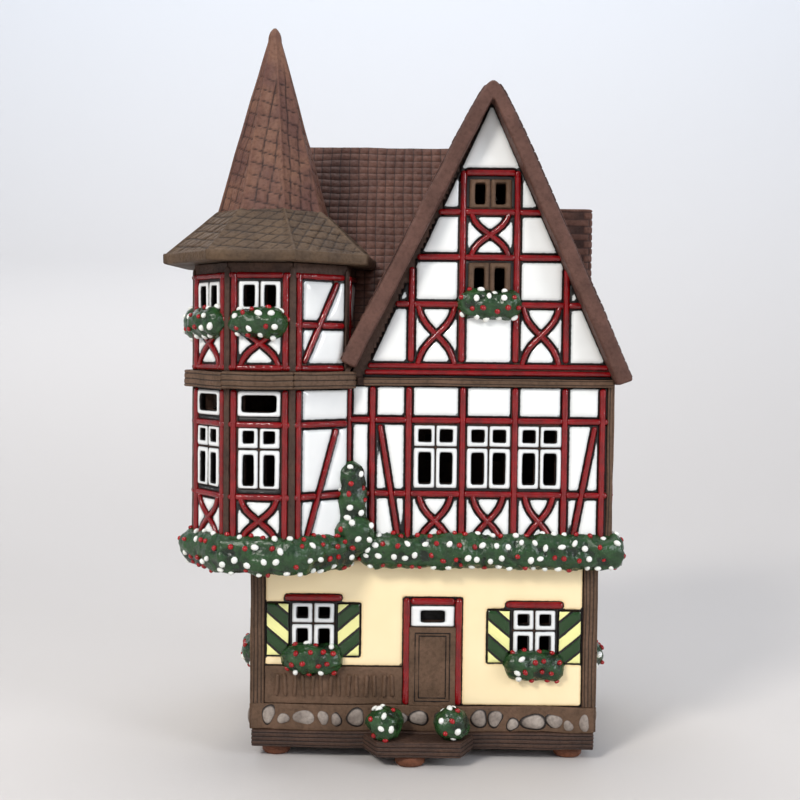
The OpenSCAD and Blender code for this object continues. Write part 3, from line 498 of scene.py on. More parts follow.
def half_round(
    shape: Shape, face: Face, bar: Bar, height: float = 1.15, mark: int = 0, seed: int = 0, trim: float = 1.0
) -> None:
    """Adds a trailed bead of glaze: a half ellipse carried along a line, with round ends.

    Each section is width / 2 times cos across and height times sin out, for an angle from 0 to pi,
    and is closed under the glaze. Near an end both shrink with the root of 1 - (1 - s)^2, where s
    is the distance to the end as a share of half the width. Noise along the line varies both.

    Args:
        shape: The mesh to add to.
        face: The face that the bead lies on.
        bar: Its line and width.
        height: How far it stands out.
        mark: Its finish.
        seed: Which wobble.
        trim: The bead's width as a share of the timber's.
    """
    half = bar.width * trim / 2
    ends = bar.line[[0, -1]] - bar.line[[1, -2]]
    ends = ends / np.linalg.norm(ends, axis=1)[:, None] * half
    line = np.concatenate([bar.line[:1] + ends[:1], bar.line, bar.line[-1:] + ends[1:]])
    leg = np.concatenate([[0], np.cumsum(np.linalg.norm(np.diff(line, axis=0), axis=1))])
    tip = np.array([0.04, 0.16, 0.4, 0.7]) * half
    body = np.linspace(half, leg[-1] - half, max(2, int((leg[-1] - 2 * half) / 2.1) + 1))
    s = np.concatenate([tip, body, leg[-1] - tip[::-1]])
    u, v = np.interp(s, leg, line[:, 0]), np.interp(s, leg, line[:, 1])
    tangent = np.stack([np.gradient(u, s), np.gradient(v, s)], axis=1)
    tangent /= np.linalg.norm(tangent, axis=1)[:, None]
    t = np.clip(np.minimum(s, leg[-1] - s) / half, 0, 1)
    shrink = np.sqrt(1 - (1 - t) ** 2)
    spot = face.place(u, v)
    wide = shrink * half * (1 + 0.07 * noise(spot, 3.1, seed))
    tall = shrink * height * (1 + 0.16 * noise(spot, 2.3, seed + 5))
    angle = np.linspace(0, math.pi, 9)
    across = np.concatenate([[1], np.cos(angle), [-1]])
    up = np.concatenate([[0], np.sin(angle) ** 0.75, [0]])
    down = np.concatenate([[0.3], np.zeros(9), [0.3]])
    off = wide[:, None] * across
    pu = u[:, None] - off * tangent[:, 1:2]
    pv = v[:, None] + off * tangent[:, 0:1]
    pw = tall[:, None] * up - down * np.minimum(1, shrink[:, None] + 0.2)
    poles = face.place(
        np.interp([0, leg[-1]], leg, line[:, 0]), np.interp([0, leg[-1]], leg, line[:, 1]), -0.1
    )
    points = np.concatenate([face.place(pu, pv, pw).reshape(-1, 3), poles])
    shape.add(points, capped(*pu.shape), mark)


@dataclass(frozen=True)
class Pane:
    """One casement: the outer rectangle of its frame and the opening in it."""

    outer: Area
    hole: Area


@dataclass(frozen=True)
class Window:
    """A window: the area that its frames take up, and its casements."""

    area: Area
    panes: tuple[Pane, ...]


def window(
    u: float,
    rows: Sequence[tuple[float, float]],
    pane_w: float,
    mullion: float,
    edge: float = 1.95,
    rise: float = 1.7,
) -> Window:
    """A window with two columns of panes.

    Args:
        u: Its middle.
        rows: The lowest and highest edge of each row of panes.
        pane_w: Width of a pane.
        mullion: Width between the columns.
        edge: Width of the frame beside the panes.
        rise: Height of the frame above and below them.

    Returns:
        The window, whose casements meet half way between the panes.
    """
    half = pane_w + mullion / 2
    lines = [rows[0][0] - rise]
    lines += [(a[1] + b[0]) / 2 for a, b in zip(rows[:-1], rows[1:])] + [rows[-1][1] + rise]
    panes = []
    for low, high, (v0, v1) in zip(lines[:-1], lines[1:], rows):
        panes.append(Pane((u - half - edge, low, u, high), (u - half, v0, u - mullion / 2, v1)))
        panes.append(Pane((u, low, u + half + edge, high), (u + mullion / 2, v0, u + half, v1)))
    return Window((u - half - edge, lines[0], u + half + edge, lines[-1]), tuple(panes))


def box_gap(area: Area, u: Array, v: Array) -> Array:
    """How far each point is from a rectangle's edge, below 0 inside it."""
    du = np.maximum(area[0] - u, u - area[2])
    dv = np.maximum(area[1] - v, v - area[3])
    outside = np.hypot(np.maximum(du, 0), np.maximum(dv, 0))
    return outside + np.minimum(np.maximum(du, dv), 0)


def casement(
    shape: Shape, face: Face, pane: Pane, height: float = 0.95, mark: int = 0, seed: int = 0
) -> None:
    """Adds the puffed frame of one pane: a closed ring between two rounded rectangles.

    Both rectangles are superellipses, a sign(cos) |cos|^(2/n) and b sign(sin) |sin|^(2/n), with a
    high n. The section goes up the opening, over a low hill and down outside.

    Args:
        shape: The mesh to add to.
        face: The face that it lies on.
        pane: Its outer rectangle and its opening.
        height: How far it stands out.
        mark: Its finish.
        seed: Which wobble.
    """
    angle = np.linspace(0, 2 * math.pi, 40, endpoint=False) + 0.08
    mix = np.array([0, 0, 0.07, 0.22, 0.45, 0.72, 0.92, 1, 1])
    tall = np.array([-1.6, 0.1, 0.55, 0.9, 1, 0.85, 0.5, 0.05, -0.3])
    loops = []
    for area, power, inset in ((pane.hole, 7.0, 0.08), (pane.outer, 18.0, 0.16)):
        half_u, half_v = (area[2] - area[0]) / 2 - inset, (area[3] - area[1]) / 2 - inset
        cos, sin = np.cos(angle), np.sin(angle)
        u = (area[0] + area[2]) / 2 + half_u * np.sign(cos) * np.abs(cos) ** (2 / power)
        v = (area[1] + area[3]) / 2 + half_v * np.sign(sin) * np.abs(sin) ** (2 / power)
        loops.append(np.stack([u, v], axis=1))
    inner, outer = loops
    spread = np.linalg.norm(outer - inner, axis=1)
    uv = inner[:, None] + mix[None, :, None] * (outer - inner)[:, None]
    w = np.where(tall > 0, tall * height, tall)[None, :] * np.ones((len(angle), 1))
    points = face.place(uv[..., 0], uv[..., 1], w)
    points = points + (0.07 * wander(points.reshape(-1, 3), 2.6, seed)).reshape(points.shape)
    rim = np.minimum(mix, 1 - mix)[None, :] * spread[:, None]
    rows, cols = uv.shape[:2]
    quads = grid_quads(rows, cols, ring_rows=True, ring_cols=True)[:, ::-1]
    shape.add(points.reshape(-1, 3), [quads], mark, rim=rim.ravel())


@dataclass
class Wall:
    """A glazed wall: its face, the outline of its glaze, and what interrupts it.

    The glaze is a height over the clay, puff (1 - exp(-(d - 0.35) / 0.75)), where d is the distance
    to the nearest timber, window or edge, so that each field swells inside a thin drawn line.
    """

    face: Face
    outline: Array
    bars: list[Bar] = field(default_factory=list)
    windows: list[Window] = field(default_factory=list)
    blanks: list[Area] = field(default_factory=list)
    puff: float = 0.75
    cell: float = 0.95
    behind: float = 0.3

    def rim(self, u: Array, v: Array) -> Array:
        """Distance from each point to the edge of its field of glaze, below 0 outside it."""
        ahead = np.roll(self.outline, -1, axis=0) - self.outline
        inward = np.stack([-ahead[:, 1], ahead[:, 0]], axis=1)
        inward /= np.linalg.norm(ahead, axis=1)[:, None]
        gap = (u[..., None] - self.outline[:, 0]) * inward[:, 0]
        gap += (v[..., None] - self.outline[:, 1]) * inward[:, 1]
        least = gap.min(axis=-1)
        for bar in self.bars:
            least = np.minimum(least, bar.near(u, v))
        for area in [w.area for w in self.windows] + self.blanks:
            least = np.minimum(least, box_gap(area, u, v))
        return least

    def glaze(self, shape: Shape) -> None:
        """Adds the wall's sheet of glaze, whose cells have their middle on a field."""
        low, high = self.outline.min(axis=0), self.outline.max(axis=0)
        steps = np.ceil((high - low) / self.cell).astype(int)
        u, v = np.meshgrid(
            np.linspace(low[0], high[0], steps[0] + 1), np.linspace(low[1], high[1], steps[1] + 1)
        )
        d = self.rim(u, v)
        middle = (d[:-1, :-1] + d[1:, 1:] + d[:-1, 1:] + d[1:, :-1]) / 4
        spot = self.face.place(u, v)
        keep = middle > -0.35
        swell = self.puff * (1 - np.exp(-np.maximum(d - 0.35, 0) / 0.75))
        swell += 0.05 * noise(spot.reshape(-1, 3), 7.0, 3).reshape(d.shape) * (d > 0.6)
        front = self.face.place(u, v, np.where(d > 0, 0.1 + swell, 0.08))
        back = self.face.place(u, v, -self.behind)
        closed_sheet(shape, front, back, keep, rim=d)

    def timbers(self, shape: Shape) -> None:
        """Adds a bead for each of the wall's timbers, a fifth narrower than its timber."""
        for i, bar in enumerate(self.bars):
            height = 1.15 * min(1.0, bar.width / SIZE.brace)
            half_round(shape, self.face, bar, height, 0, 11 * i, 0.8)

    @property
    def panes(self) -> list[Pane]:
        """The panes of all the wall's windows."""
        return [pane for frame_ in self.windows for pane in frame_.panes]

    def casements(self, shape: Shape, height: float = 0.95) -> None:
        """Adds the frames of the wall's windows."""
        for i, pane in enumerate(self.panes):
            casement(shape, self.face, pane, height, 0, 7 * i)


def oblong(u0: float, v0: float, u1: float, v1: float) -> Array:
    """The outline of a rectangle, turning left."""
    return np.array([[u0, v0], [u1, v0], [u1, v1], [u0, v1]])


# ------------------------------------------------------------------ finishes


def linear(colour: str) -> tuple[float, float, float, float]:
    """Turns an sRGB hex colour to linear light."""
    parts = [int(colour[i : i + 2], 16) / 255 for i in (1, 3, 5)]
    light = [p / 12.92 if p <= 0.04045 else ((p + 0.055) / 1.055) ** 2.4 for p in parts]
    return (light[0], light[1], light[2], 1.0)


Socket = bpy.types.NodeSocket


@dataclass
class Recipe:
    """A material under construction, with its own node tree."""

    name: str

    def __post_init__(self) -> None:
        """Makes the empty material and its output."""
        self.material = bpy.data.materials.new(self.name)
        self.material.use_nodes = True
        self.tree = self.material.node_tree
        self.tree.nodes.clear()
        self.output = self.tree.nodes.new("ShaderNodeOutputMaterial")

    def node(
        self, kind: str, inputs: dict[object, object], out: int = 0, **settings: object
    ) -> Socket:
        """Adds a node with its settings and links.

        Args:
            kind: The node's type without its first word.
            inputs: By socket name or number, a value or the socket that feeds it.
            out: Which of its outputs to give back.
            settings: Values of its properties.

        Returns:
            One output of the new node.
        """
        made = self.tree.nodes.new("ShaderNode" + kind)
        for key, value in settings.items():
            setattr(made, key, value)
        for key, value in inputs.items():
            if isinstance(value, Socket):
                self.tree.links.new(value, made.inputs[key])
            else:
                made.inputs[key].default_value = value
        return made.outputs[out]

    def grain(
        self,
        size_mm: float,
        detail: float,
        low: float,
        high: float,
        drag: Sequence[float] = (1, 1, 1),
    ) -> Socket:
        """A cloudy pattern from 0 to 1.

        Args:
            size_mm: How far apart its features are.
            detail: How many finer layers it has.
            low: What becomes 0.
            high: What becomes 1.
            drag: How much finer it is along each axis.

        Returns:
            The pattern.
        """
        place = self.node("Mapping", {0: self.node("TexCoord", {}, 3), 3: drag})
        cloud = self.node("TexNoise", {"Vector": place, "Scale": 1000 / size_mm, "Detail": detail})
        return self.node("MapRange", {0: cloud, 1: low, 2: high})

    def close(
        self, shader: dict[str, object], height: Socket, depth_mm: float
    ) -> bpy.types.Material:
        """Adds the shader and its bump.

        Args:
            shader: The shader's inputs.
            height: A height from 0 to 1.
            depth_mm: What a height of 1 stands for.

        Returns:
            The finished material.
        """
        lifted = self.node("Bump", {"Height": height, "Distance": depth_mm * MM, "Strength": 1.0})
        surface = self.node("BsdfPrincipled", shader | {"Normal": lifted})
        self.tree.links.new(surface, self.output.inputs["Surface"])
        return self.material


@dataclass(frozen=True)
class BareClay:
    """Unglazed stoneware, washed with iron oxide and wiped back.

    It is matt, with a fine grain of sand, cloudy patches about 9 mm across, and dark wash left in
    the grooves and pores.
    """

    name: str
    body: str
    wash: str
    light: str
    left_in_grooves: float = 0.9
    grain_mm: float = 0.8

    def make(self) -> bpy.types.Material:
        """Builds the material."""
        made = Recipe(self.name)
        cloud = made.grain(9.0, 4, 0.35, 0.68)
        speck = made.grain(1.2, 3, 0.45, 0.8)
        colour = made.node(
            "Mix", {0: cloud, 6: linear(self.body), 7: linear(self.light)}, 2, data_type="RGBA"
        )
        pores = made.node("Math", {0: speck, 1: 0.4}, operation="MULTIPLY")
        colour = made.node("Mix", {0: pores, 6: colour, 7: linear(self.wash)}, 2, data_type="RGBA")
        dent = made.node("Attribute", {}, 2, attribute_name="dent")
        groove = made.node("MapRange", {0: dent, 1: 0.15, 2: 0.85, 4: self.left_in_grooves})
        colour = made.node("Mix", {0: groove, 6: colour, 7: linear(self.wash)}, 2, data_type="RGBA")
        height = made.node(
            "Math", {0: made.grain(self.grain_mm, 4, 0, 1), 1: made.grain(3.2, 2, 0, 1)}
        )
        rough = made.node("MapRange", {0: speck, 3: 0.6, 4: 0.8})
        shader = {"Base Color": colour, "Roughness": rough, "IOR": 1.48, "Specular IOR Level": 0.35}
        return made.close(shader, height, 0.16)


@dataclass(frozen=True)
class Glaze:
    """Opaque glaze inside a drawn line of dark underglaze.

    The line is near black and half matt, and it lies along the field's edge. The glaze is smooth
    and glossy, turns to its second colour beside the line as painted shade where the field curves
    down into it, and is a little uneven from the brush, with cloudy patches of that colour.
    """

    name: str
    colour: str
    shade_and_mottle: str
    line_mm: float = 0.5
    rough: float = 0.1
    ripple_mm: float = 0.08

    def make(self) -> bpy.types.Material:
        """Builds the material."""
        made = Recipe(self.name)
        shake = made.node("MapRange", {0: made.grain(1.6, 2, 0, 1), 3: -0.16, 4: 0.16})
        edge = made.node("Math", {0: made.node("Attribute", {}, 2, attribute_name="rim"), 1: shake})
        inside = made.node("MapRange", {0: edge, 1: self.line_mm - 0.08, 2: self.line_mm + 0.08})
        # Painted shade: within 0.9 mm of its line the field turns to its second colour, where it curves
        # down.
        clear_of_edge_shade = made.node("MapRange", {0: edge, 1: self.line_mm, 2: self.line_mm + 0.9})
        cloud = made.node("Math", {0: made.grain(12.0, 2, 0.3, 0.8), 1: 0.25}, operation="MULTIPLY")
        colour = made.node(
            "Mix", {0: clear_of_edge_shade, 6: linear(self.shade_and_mottle), 7: linear(self.colour)}, 2, data_type="RGBA"
        )
        colour = made.node("Mix", {0: cloud, 6: colour, 7: linear(self.shade_and_mottle)}, 2, data_type="RGBA")
        colour = made.node("Mix", {0: inside, 6: linear("#0b0706"), 7: colour}, 2, data_type="RGBA")
        rough = made.node("MapRange", {0: inside, 3: 0.5, 4: self.rough})
        shader = {"Base Color": colour, "Roughness": rough, "IOR": 1.5}
        return made.close(shader, made.grain(4.5, 2, 0, 1), self.ripple_mm)


@dataclass(frozen=True)
class TrailedGlaze:
    """Thick glaze trailed in a bead, as on the timbers.

    It is very glossy, a little darker where it thins, with small lumps that break up highlights.
    """

    name: str
    colour: str
    dark: str
    lump_mm: float = 1.7
    depth_mm: float = 0.22

    def make(self) -> bpy.types.Material:
        """Builds the material."""
        made = Recipe(self.name)
        cloud = made.grain(4.0, 2, 0.35, 0.75)
        colour = made.node(
            "Mix", {0: cloud, 6: linear(self.colour), 7: linear(self.dark)}, 2, data_type="RGBA"
        )
        shader = {"Base Color": colour, "Roughness": 0.1, "IOR": 1.52}
        return made.close(shader, made.grain(self.lump_mm, 2, 0, 1), self.depth_mm)


@dataclass(frozen=True)
class LeafGlaze:
    """Green glaze over rough scratched clay, as on the flowers.

    It is glossy on the lumps and dark in the creases, with short pale strokes where it breaks.
    """

    name: str
    colour: str
    dark: str
    fleck: str

    def make(self) -> bpy.types.Material:
        """Builds the material."""
        made = Recipe(self.name)
        cloud = made.grain(3.0, 3, 0.36, 0.66)
        fleck = made.node("Math", {0: made.grain(0.9, 3, 0.66, 0.74), 1: 0.4}, operation="MULTIPLY")
        colour = made.node(
            "Mix", {0: cloud, 6: linear(self.dark), 7: linear(self.colour)}, 2, data_type="RGBA"
        )
        colour = made.node("Mix", {0: fleck, 6: colour, 7: linear(self.fleck)}, 2, data_type="RGBA")
        dent = made.node("Attribute", {}, 2, attribute_name="dent")
        crease = made.node("MapRange", {0: dent, 1: 0.2, 2: 0.95, 4: 0.85})
        colour = made.node("Mix", {0: crease, 6: colour, 7: linear("#0a150b")}, 2, data_type="RGBA")
        shader = {"Base Color": colour, "Roughness": 0.22, "IOR": 1.5}
        return made.close(shader, made.grain(1.2, 4, 0, 1), 0.35)


@dataclass(frozen=True)
class StripedGlaze:
    """Shutter glaze: slanting fields of two colours with a dark line between, inside a dark edge."""

    name: str
    first: str
    second: str
    pitch_mm: float = 5.6
    slope: float = 0.85

    def make(self) -> bpy.types.Material:
        """Builds the material, whose stripes follow the piece's flat map in millimetres."""
        made = Recipe(self.name)
        flat = made.node("UVMap", {}, uv_map="flat")
        across = made.node("SeparateXYZ", {0: flat})
        along = made.node("SeparateXYZ", {0: flat}, 1)
        slant = made.node("Math", {0: across, 1: self.slope, 2: along}, operation="MULTIPLY_ADD")
        run = made.node("Math", {0: slant, 1: self.pitch_mm}, operation="DIVIDE")
        number = made.node("Math", {0: run}, operation="FLOOR")
        half = made.node("Math", {0: number, 1: 0.5}, operation="MULTIPLY")
        odd = made.node(
            "Math",
            {0: made.node("Math", {0: half}, operation="FRACT"), 1: 2.0},
            operation="MULTIPLY",
        )
        part = made.node(
            "Math",
            {0: made.node("Math", {0: run}, operation="FRACT"), 1: 0.5},
            operation="SUBTRACT",
        )
        centre = made.node("Math", {0: part}, operation="ABSOLUTE")
        reach = made.node(
            "Math",
            {0: centre, 1: -0.76 * self.pitch_mm, 2: 0.38 * self.pitch_mm},
            operation="MULTIPLY_ADD",
        )
        rim = made.node("Attribute", {}, 2, attribute_name="rim")
        least = made.node("Math", {0: reach, 1: rim}, operation="MINIMUM")
        shake = made.node("MapRange", {0: made.grain(1.4, 2, 0, 1), 3: -0.12, 4: 0.12})
        edge = made.node("Math", {0: least, 1: shake})
        inside = made.node("MapRange", {0: edge, 1: 0.34, 2: 0.5})
        colour = made.node(
            "Mix", {0: odd, 6: linear(self.first), 7: linear(self.second)}, 2, data_type="RGBA"
        )
        colour = made.node("Mix", {0: inside, 6: linear("#0e0a08"), 7: colour}, 2, data_type="RGBA")
        shader = {"Base Color": colour, "Roughness": 0.12, "IOR": 1.5}
        return made.close(shader, made.grain(2.8, 2, 0, 1), 0.1)


# Matt dark brown that turns almost black in its dents, as on bare slab edges.
BROWN_CLAY = BareClay("washed brown stoneware", "#55402f", "#21160f", "#69503e").make()
# A redder brown with dark lines between the tiles.
ROOF_CLAY = BareClay("red brown roof stoneware", "#54352b", "#291713", "#664336", 0.8).make()
# The roof's brown, rubbed smooth, so that light runs evenly along the slabs.
RAKE_CLAY = BareClay("smoothed roof stoneware", "#4f342b", "#2b1a15", "#63443a").make()
# Almost black brown, which sets off what stands in front of it.
# In the verge fillets it is painted shade for the gap under the rake.
DARK_CLAY = BareClay("dark washed stoneware, also painted verge shade", "#3b2a22", "#140d0a", "#50392d").make()
# A lighter red brown that stands out between dark lines.
SPIRE_CLAY = BareClay("spire stoneware, rubbed red brown", "#5c3c33", "#2a1813", "#74513f").make()
# An olive brown, duller than the spire over it.
SKIRT_CLAY = BareClay("skirt stoneware, rubbed olive brown", "#48382a", "#1e140e", "#5b4733").make()
# Plain orange brown, warmer than the plate that it carries.
FOOT_CLAY = BareClay("foot terracotta", "#623a27", "#3a2117", "#7c4a32").make()
# Pale grey tops with near black round them, so that each stone reads on its own.
STONE_CLAY = BareClay("grey washed clay stones", "#7b7068", "#1c1512", "#aca197", 0.95, 0.5).make()
# Almost black and without a shine: painted shade that stands for the dark room behind a pane.
PAINTED_SHADE_CLAY = BareClay("painted shade clay inside the house", "#0b0908", "#050404", "#12100e").make()
# Cold white with a soft shine, and painted grey shade beside its lines.
WHITE_GLAZE = Glaze("white tin glaze", "#f3f5f3", "#ccd1d0").make()
# Warm cream with a soft shine, and a darker yellow painted shade beside its lines.
CREAM_GLAZE = Glaze("cream glaze", "#fbe8bc", "#eed3a0", 0.42, 0.2, 0.05).make()
# A white a shade greyer than the panels, so that the frames show against them,
# with painted grey shade beside their edges.
FRAME_GLAZE = Glaze("white window glaze", "#eff1f0", "#c9cdcd", 0.3, 0.12, 0.06).make()
# Deep red with a wet shine along each bead.
RED_GLAZE = TrailedGlaze("trailed red glaze", "#84080e", "#63050a").make()
# Small white domes with a point of light on each.
WHITE_DROPS = TrailedGlaze("white glaze drops", "#f4f5f0", "#e4e7df", 1.5, 0.08).make()
# The same domes in a brighter red than the timbers.
RED_DROPS = TrailedGlaze("red glaze drops", "#a50d14", "#7e080e", 1.5, 0.1).make()
# Dark green with pale scratched ridges, which read as leaves.
LEAF_GLAZE = LeafGlaze("green glaze over scratched clay", "#274a24", "#1a361b", "#66835b").make()
# Green and straw yellow fields with a dark line between them.
SHUTTER_GLAZE = StripedGlaze("green and straw yellow shutter glaze", "#1d3d18", "#eeeda0").make()


# ------------------------------------------------------------------ the storeys


def even_posts(a: float, b: float, bays: int) -> list[float]:
    """Post lines that split the stretch from a to b into equal bays."""
    return [float(p) for p in np.linspace(a, b, bays + 1)]


class Lean(Enum):
    """Which way the top of a slanting brace leans."""

    LEFT = "left"
    RIGHT = "right"


def blind_panes(shape: Shape, wall: Wall) -> None:
    """Closes a wall's panes with thin near black clay as painted shade, so that no daylight shows through
    the house.
    """
    for pane in wall.panes:
        u0, v0, u1, v1 = pane.hole
        area = (u0 - 0.3, v0 - 0.3, u1 + 0.3, v1 + 0.3)
        box_slab(shape, on_face(wall.face, area, -4.0, -3.2), radius=0.1, sway=0.0)


@dataclass
class UpperStorey:
    """The white glazed storey with its timbers and windows."""

    low: float = SIZE.z_upper + 24.1
    high: float = SIZE.z_upper + 50.1
    top: float = SIZE.z_eave - SIZE.beam_h

    def wall(
        self,
        face: Face,
        posts: list[float],
        windows: list[int],
        slants: dict[int, Lean],
        ends: tuple[float, float],
    ) -> Wall:
        """One side of the storey.

        Args:
            face: Where it stands.
            posts: The middles of its posts.
            windows: Bays with a window.
            slants: Bays with a slanting brace, and which way it leans.
            ends: Where the glaze stops along the wall.

        Returns:
            The wall with its timbers and windows.
        """
        foot = SIZE.z_walls
        bars = [straight(p, foot, p, self.top) for p in posts]
        breaks = list(posts)
        for bay, lean in slants.items():
            a, b = posts[bay] + SIZE.timber, posts[bay + 1] - SIZE.timber
            start, end = (a, b) if lean is Lean.LEFT else (b, a)
            under = self.high - SIZE.timber / 2 - 0.15
            bars.append(straight(start, under, end, foot, SIZE.brace))
            breaks.append(start + (end - start) * (under - self.low) / (under - foot))
        for bay in windows:
            a, b = posts[bay] + 3.9, posts[bay + 1] - 3.9
            bars += crossed(a, foot + 1.8, b, self.low - 1.0)
        for v, cuts in ((self.low, breaks), (self.high, posts)):
            bars += rail(v, ends[0], ends[1], cuts)
        sill = SIZE.z_upper + 27.6
        rows = [(sill, sill + 11.2), (sill + 14.9, sill + 19.3)]
        frames = [window((posts[i] + posts[i + 1]) / 2, rows, 4.5, 3.0) for i in windows]
        return Wall(face, oblong(ends[0], foot, ends[1], self.top), bars, frames)

    def make(self) -> None:
        """Builds the glaze, the timbers and the windows of the four sides."""
        shares = (-0.29, -0.095, 0.195, 0.476, 0.744, 0.947)
        front = self.wall(
            FRONT,
            [s * SIZE.upper_x for s in shares],
            [1, 2, 3],
            {0: Lean.LEFT, 4: Lean.RIGHT},
            (-27.6, 63.7),
        )
        front.bars.append(straight(-27.4, SIZE.z_walls, -27.4, self.top))
        right = self.wall(
            RIGHT, even_posts(-0.5, 86.5, 5), [1, 3], {0: Lean.LEFT, 4: Lean.RIGHT}, (-2.2, 88.2)
        )
        left = self.wall(
            LEFT, even_posts(-86.5, -36.0, 3), [1], {0: Lean.LEFT, 2: Lean.RIGHT}, (-88.2, -33.4)
        )
        slants = {0: Lean.LEFT, 2: Lean.RIGHT, 4: Lean.LEFT, 6: Lean.RIGHT}
        back = self.wall(BACK, even_posts(-62.0, 62.0, 7), [1, 3, 5], slants, (-63.7, 63.7))
        walls = {"front": [front], "side": [right, left], "back": [back]}
        frames = Shape()
        for side, group in walls.items():
            glaze, beads = Shape(), Shape()
            for wall in group:
                wall.glaze(glaze)
                wall.timbers(beads)
                wall.casements(frames)
            glaze.build(f"upper_{side}_glaze", [WHITE_GLAZE], "white_glaze")
            made = beads.build(f"upper_{side}_beads", [RED_GLAZE], "red_glaze")
            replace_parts(made, f"upper_{side}_timbers")
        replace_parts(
            frames.build("upper_window_frames", [FRAME_GLAZE], "window_glaze"), "upper_windows"
        )
        # Painted shade: near black panes behind the back windows stand for the dark inside of the house.
        panes = Shape()
        blind_panes(panes, back)
        panes.build("upper_back_painted_shade_panes", [PAINTED_SHADE_CLAY], "bare_clay")


@dataclass
class Gable:
    """A gable's white glaze, timbers and brown casements."""

    name: str
    face: Face
    middle: float
    half: float
    pitch: float
    share: float = 1.0
    low_window: bool = True
    posts: tuple[float, ...] = (-27.2, -9.5, 9.5, 27.2)
    rails: tuple[float, ...] = (25.9, 42.4, 58.2)
    head: float = 71.9

    def under_roof(self, v: float) -> float:
        """Half the gable's width at a height."""
        return self.half - (v - SIZE.z_eave) / math.tan(math.radians(self.pitch))

    def wall(self) -> Wall:
        """Lays out the gable's timbers and windows."""
        m, base, rise = self.middle, SIZE.z_eave, self.share
        rails = [base + rise * z for z in self.rails]
        head = base + rise * self.head
        outer, inner = self.posts[3], self.posts[2]
        bars: list[Bar] = []
        for p in self.posts:
            roof = base + (self.half - abs(p) + 1.0) * math.tan(math.radians(self.pitch))
            bars.append(straight(m + p, base + 5.3, m + p, min(head + 1.0, roof)))
        for z in rails + [head]:
            half = self.under_roof(z) + 1.0 if z < head else 10.2
            breaks = [m + p for p in self.posts if abs(p) < half]
            bars += rail(z, m - half, m + half, breaks if z < head else [m - inner, m + inner])
        for z in (1.9, 4.2):
            half = self.under_roof(base + z) + 0.6
            bars.append(straight(m - half, base + z, m + half, base + z, 2.3))
        foot = base + 5.4
        for a, b in ((-outer, -inner), (inner, outer)):
            bars += crossed(m + a + 2.5, foot, m + b - 2.5, rails[0] - 1.0)
        bars += crossed(m - 6.4, rails[1] + 1.0, m + 6.4, rails[2] - 1.0)
        windows = [window(m, [(base + rise * 60.8, base + rise * 60.8 + 7.6)], 3.8, 3.4, 2.1, 1.4)]
        if self.low_window:
            windows.append(window(m, [(base + 30.4, base + 38.9)], 3.8, 3.4, 2.1, 1.8))
        high = base + self.half * math.tan(math.radians(self.pitch))
        outline = np.array([[m - self.half, base], [m + self.half, base], [m, high]])
        return Wall(self.face, outline, bars, windows, puff=0.8, behind=4.6)

    def verge(self) -> None:
        """Builds the dark fillet of clay between the gable and the roof's flatter side: painted shade for
        the gap under the rake.
        """
        fillet, foot, peak = Shape(), SIZE.z_eave + 0.1, SIZE.ridge - 1.0
        spots = [
            (SIZE.reaches[0] + 2.0, foot), (self.half - 0.6, foot), (0.5, peak), (0.1, peak - 0.4)
        ]
        side = -1 if self.face is FRONT else 1
        if side > 0:
            spots = [spots[i] for i in (1, 0, 3, 2)]
        corners = [
            self.face.place(self.middle + side * u, v, w) for w in (-4.8, -0.15) for u, v in spots
        ]
        box_slab(fillet, np.array(corners), radius=0.2, sway=0.05, step=3.0)
        fillet.build(f"{self.name}_verge_shade_fillet", [DARK_CLAY], "bare_clay")

    def make(self, frames: Shape) -> None:
        """Builds the gable, with its casements in a mesh that the gables share."""
        wall = self.wall()
        glaze, beads = Shape(), Shape()
        wall.glaze(glaze)
        wall.timbers(beads)
        wall.casements(frames, 0.8)
        if self.face is not LEFT:
            self.verge()
        if self.face is BACK:
            # Painted shade: the back gable's panes are closed with near black clay for the dark inside.
            panes = Shape()
            blind_panes(panes, wall)
            panes.build(f"{self.name}_painted_shade_panes", [PAINTED_SHADE_CLAY], "bare_clay")
        glaze.build(f"{self.name}_glaze", [WHITE_GLAZE], "white_glaze")
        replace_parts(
            beads.build(f"{self.name}_beads", [RED_GLAZE], "red_glaze"), f"{self.name}_timbers"
        )


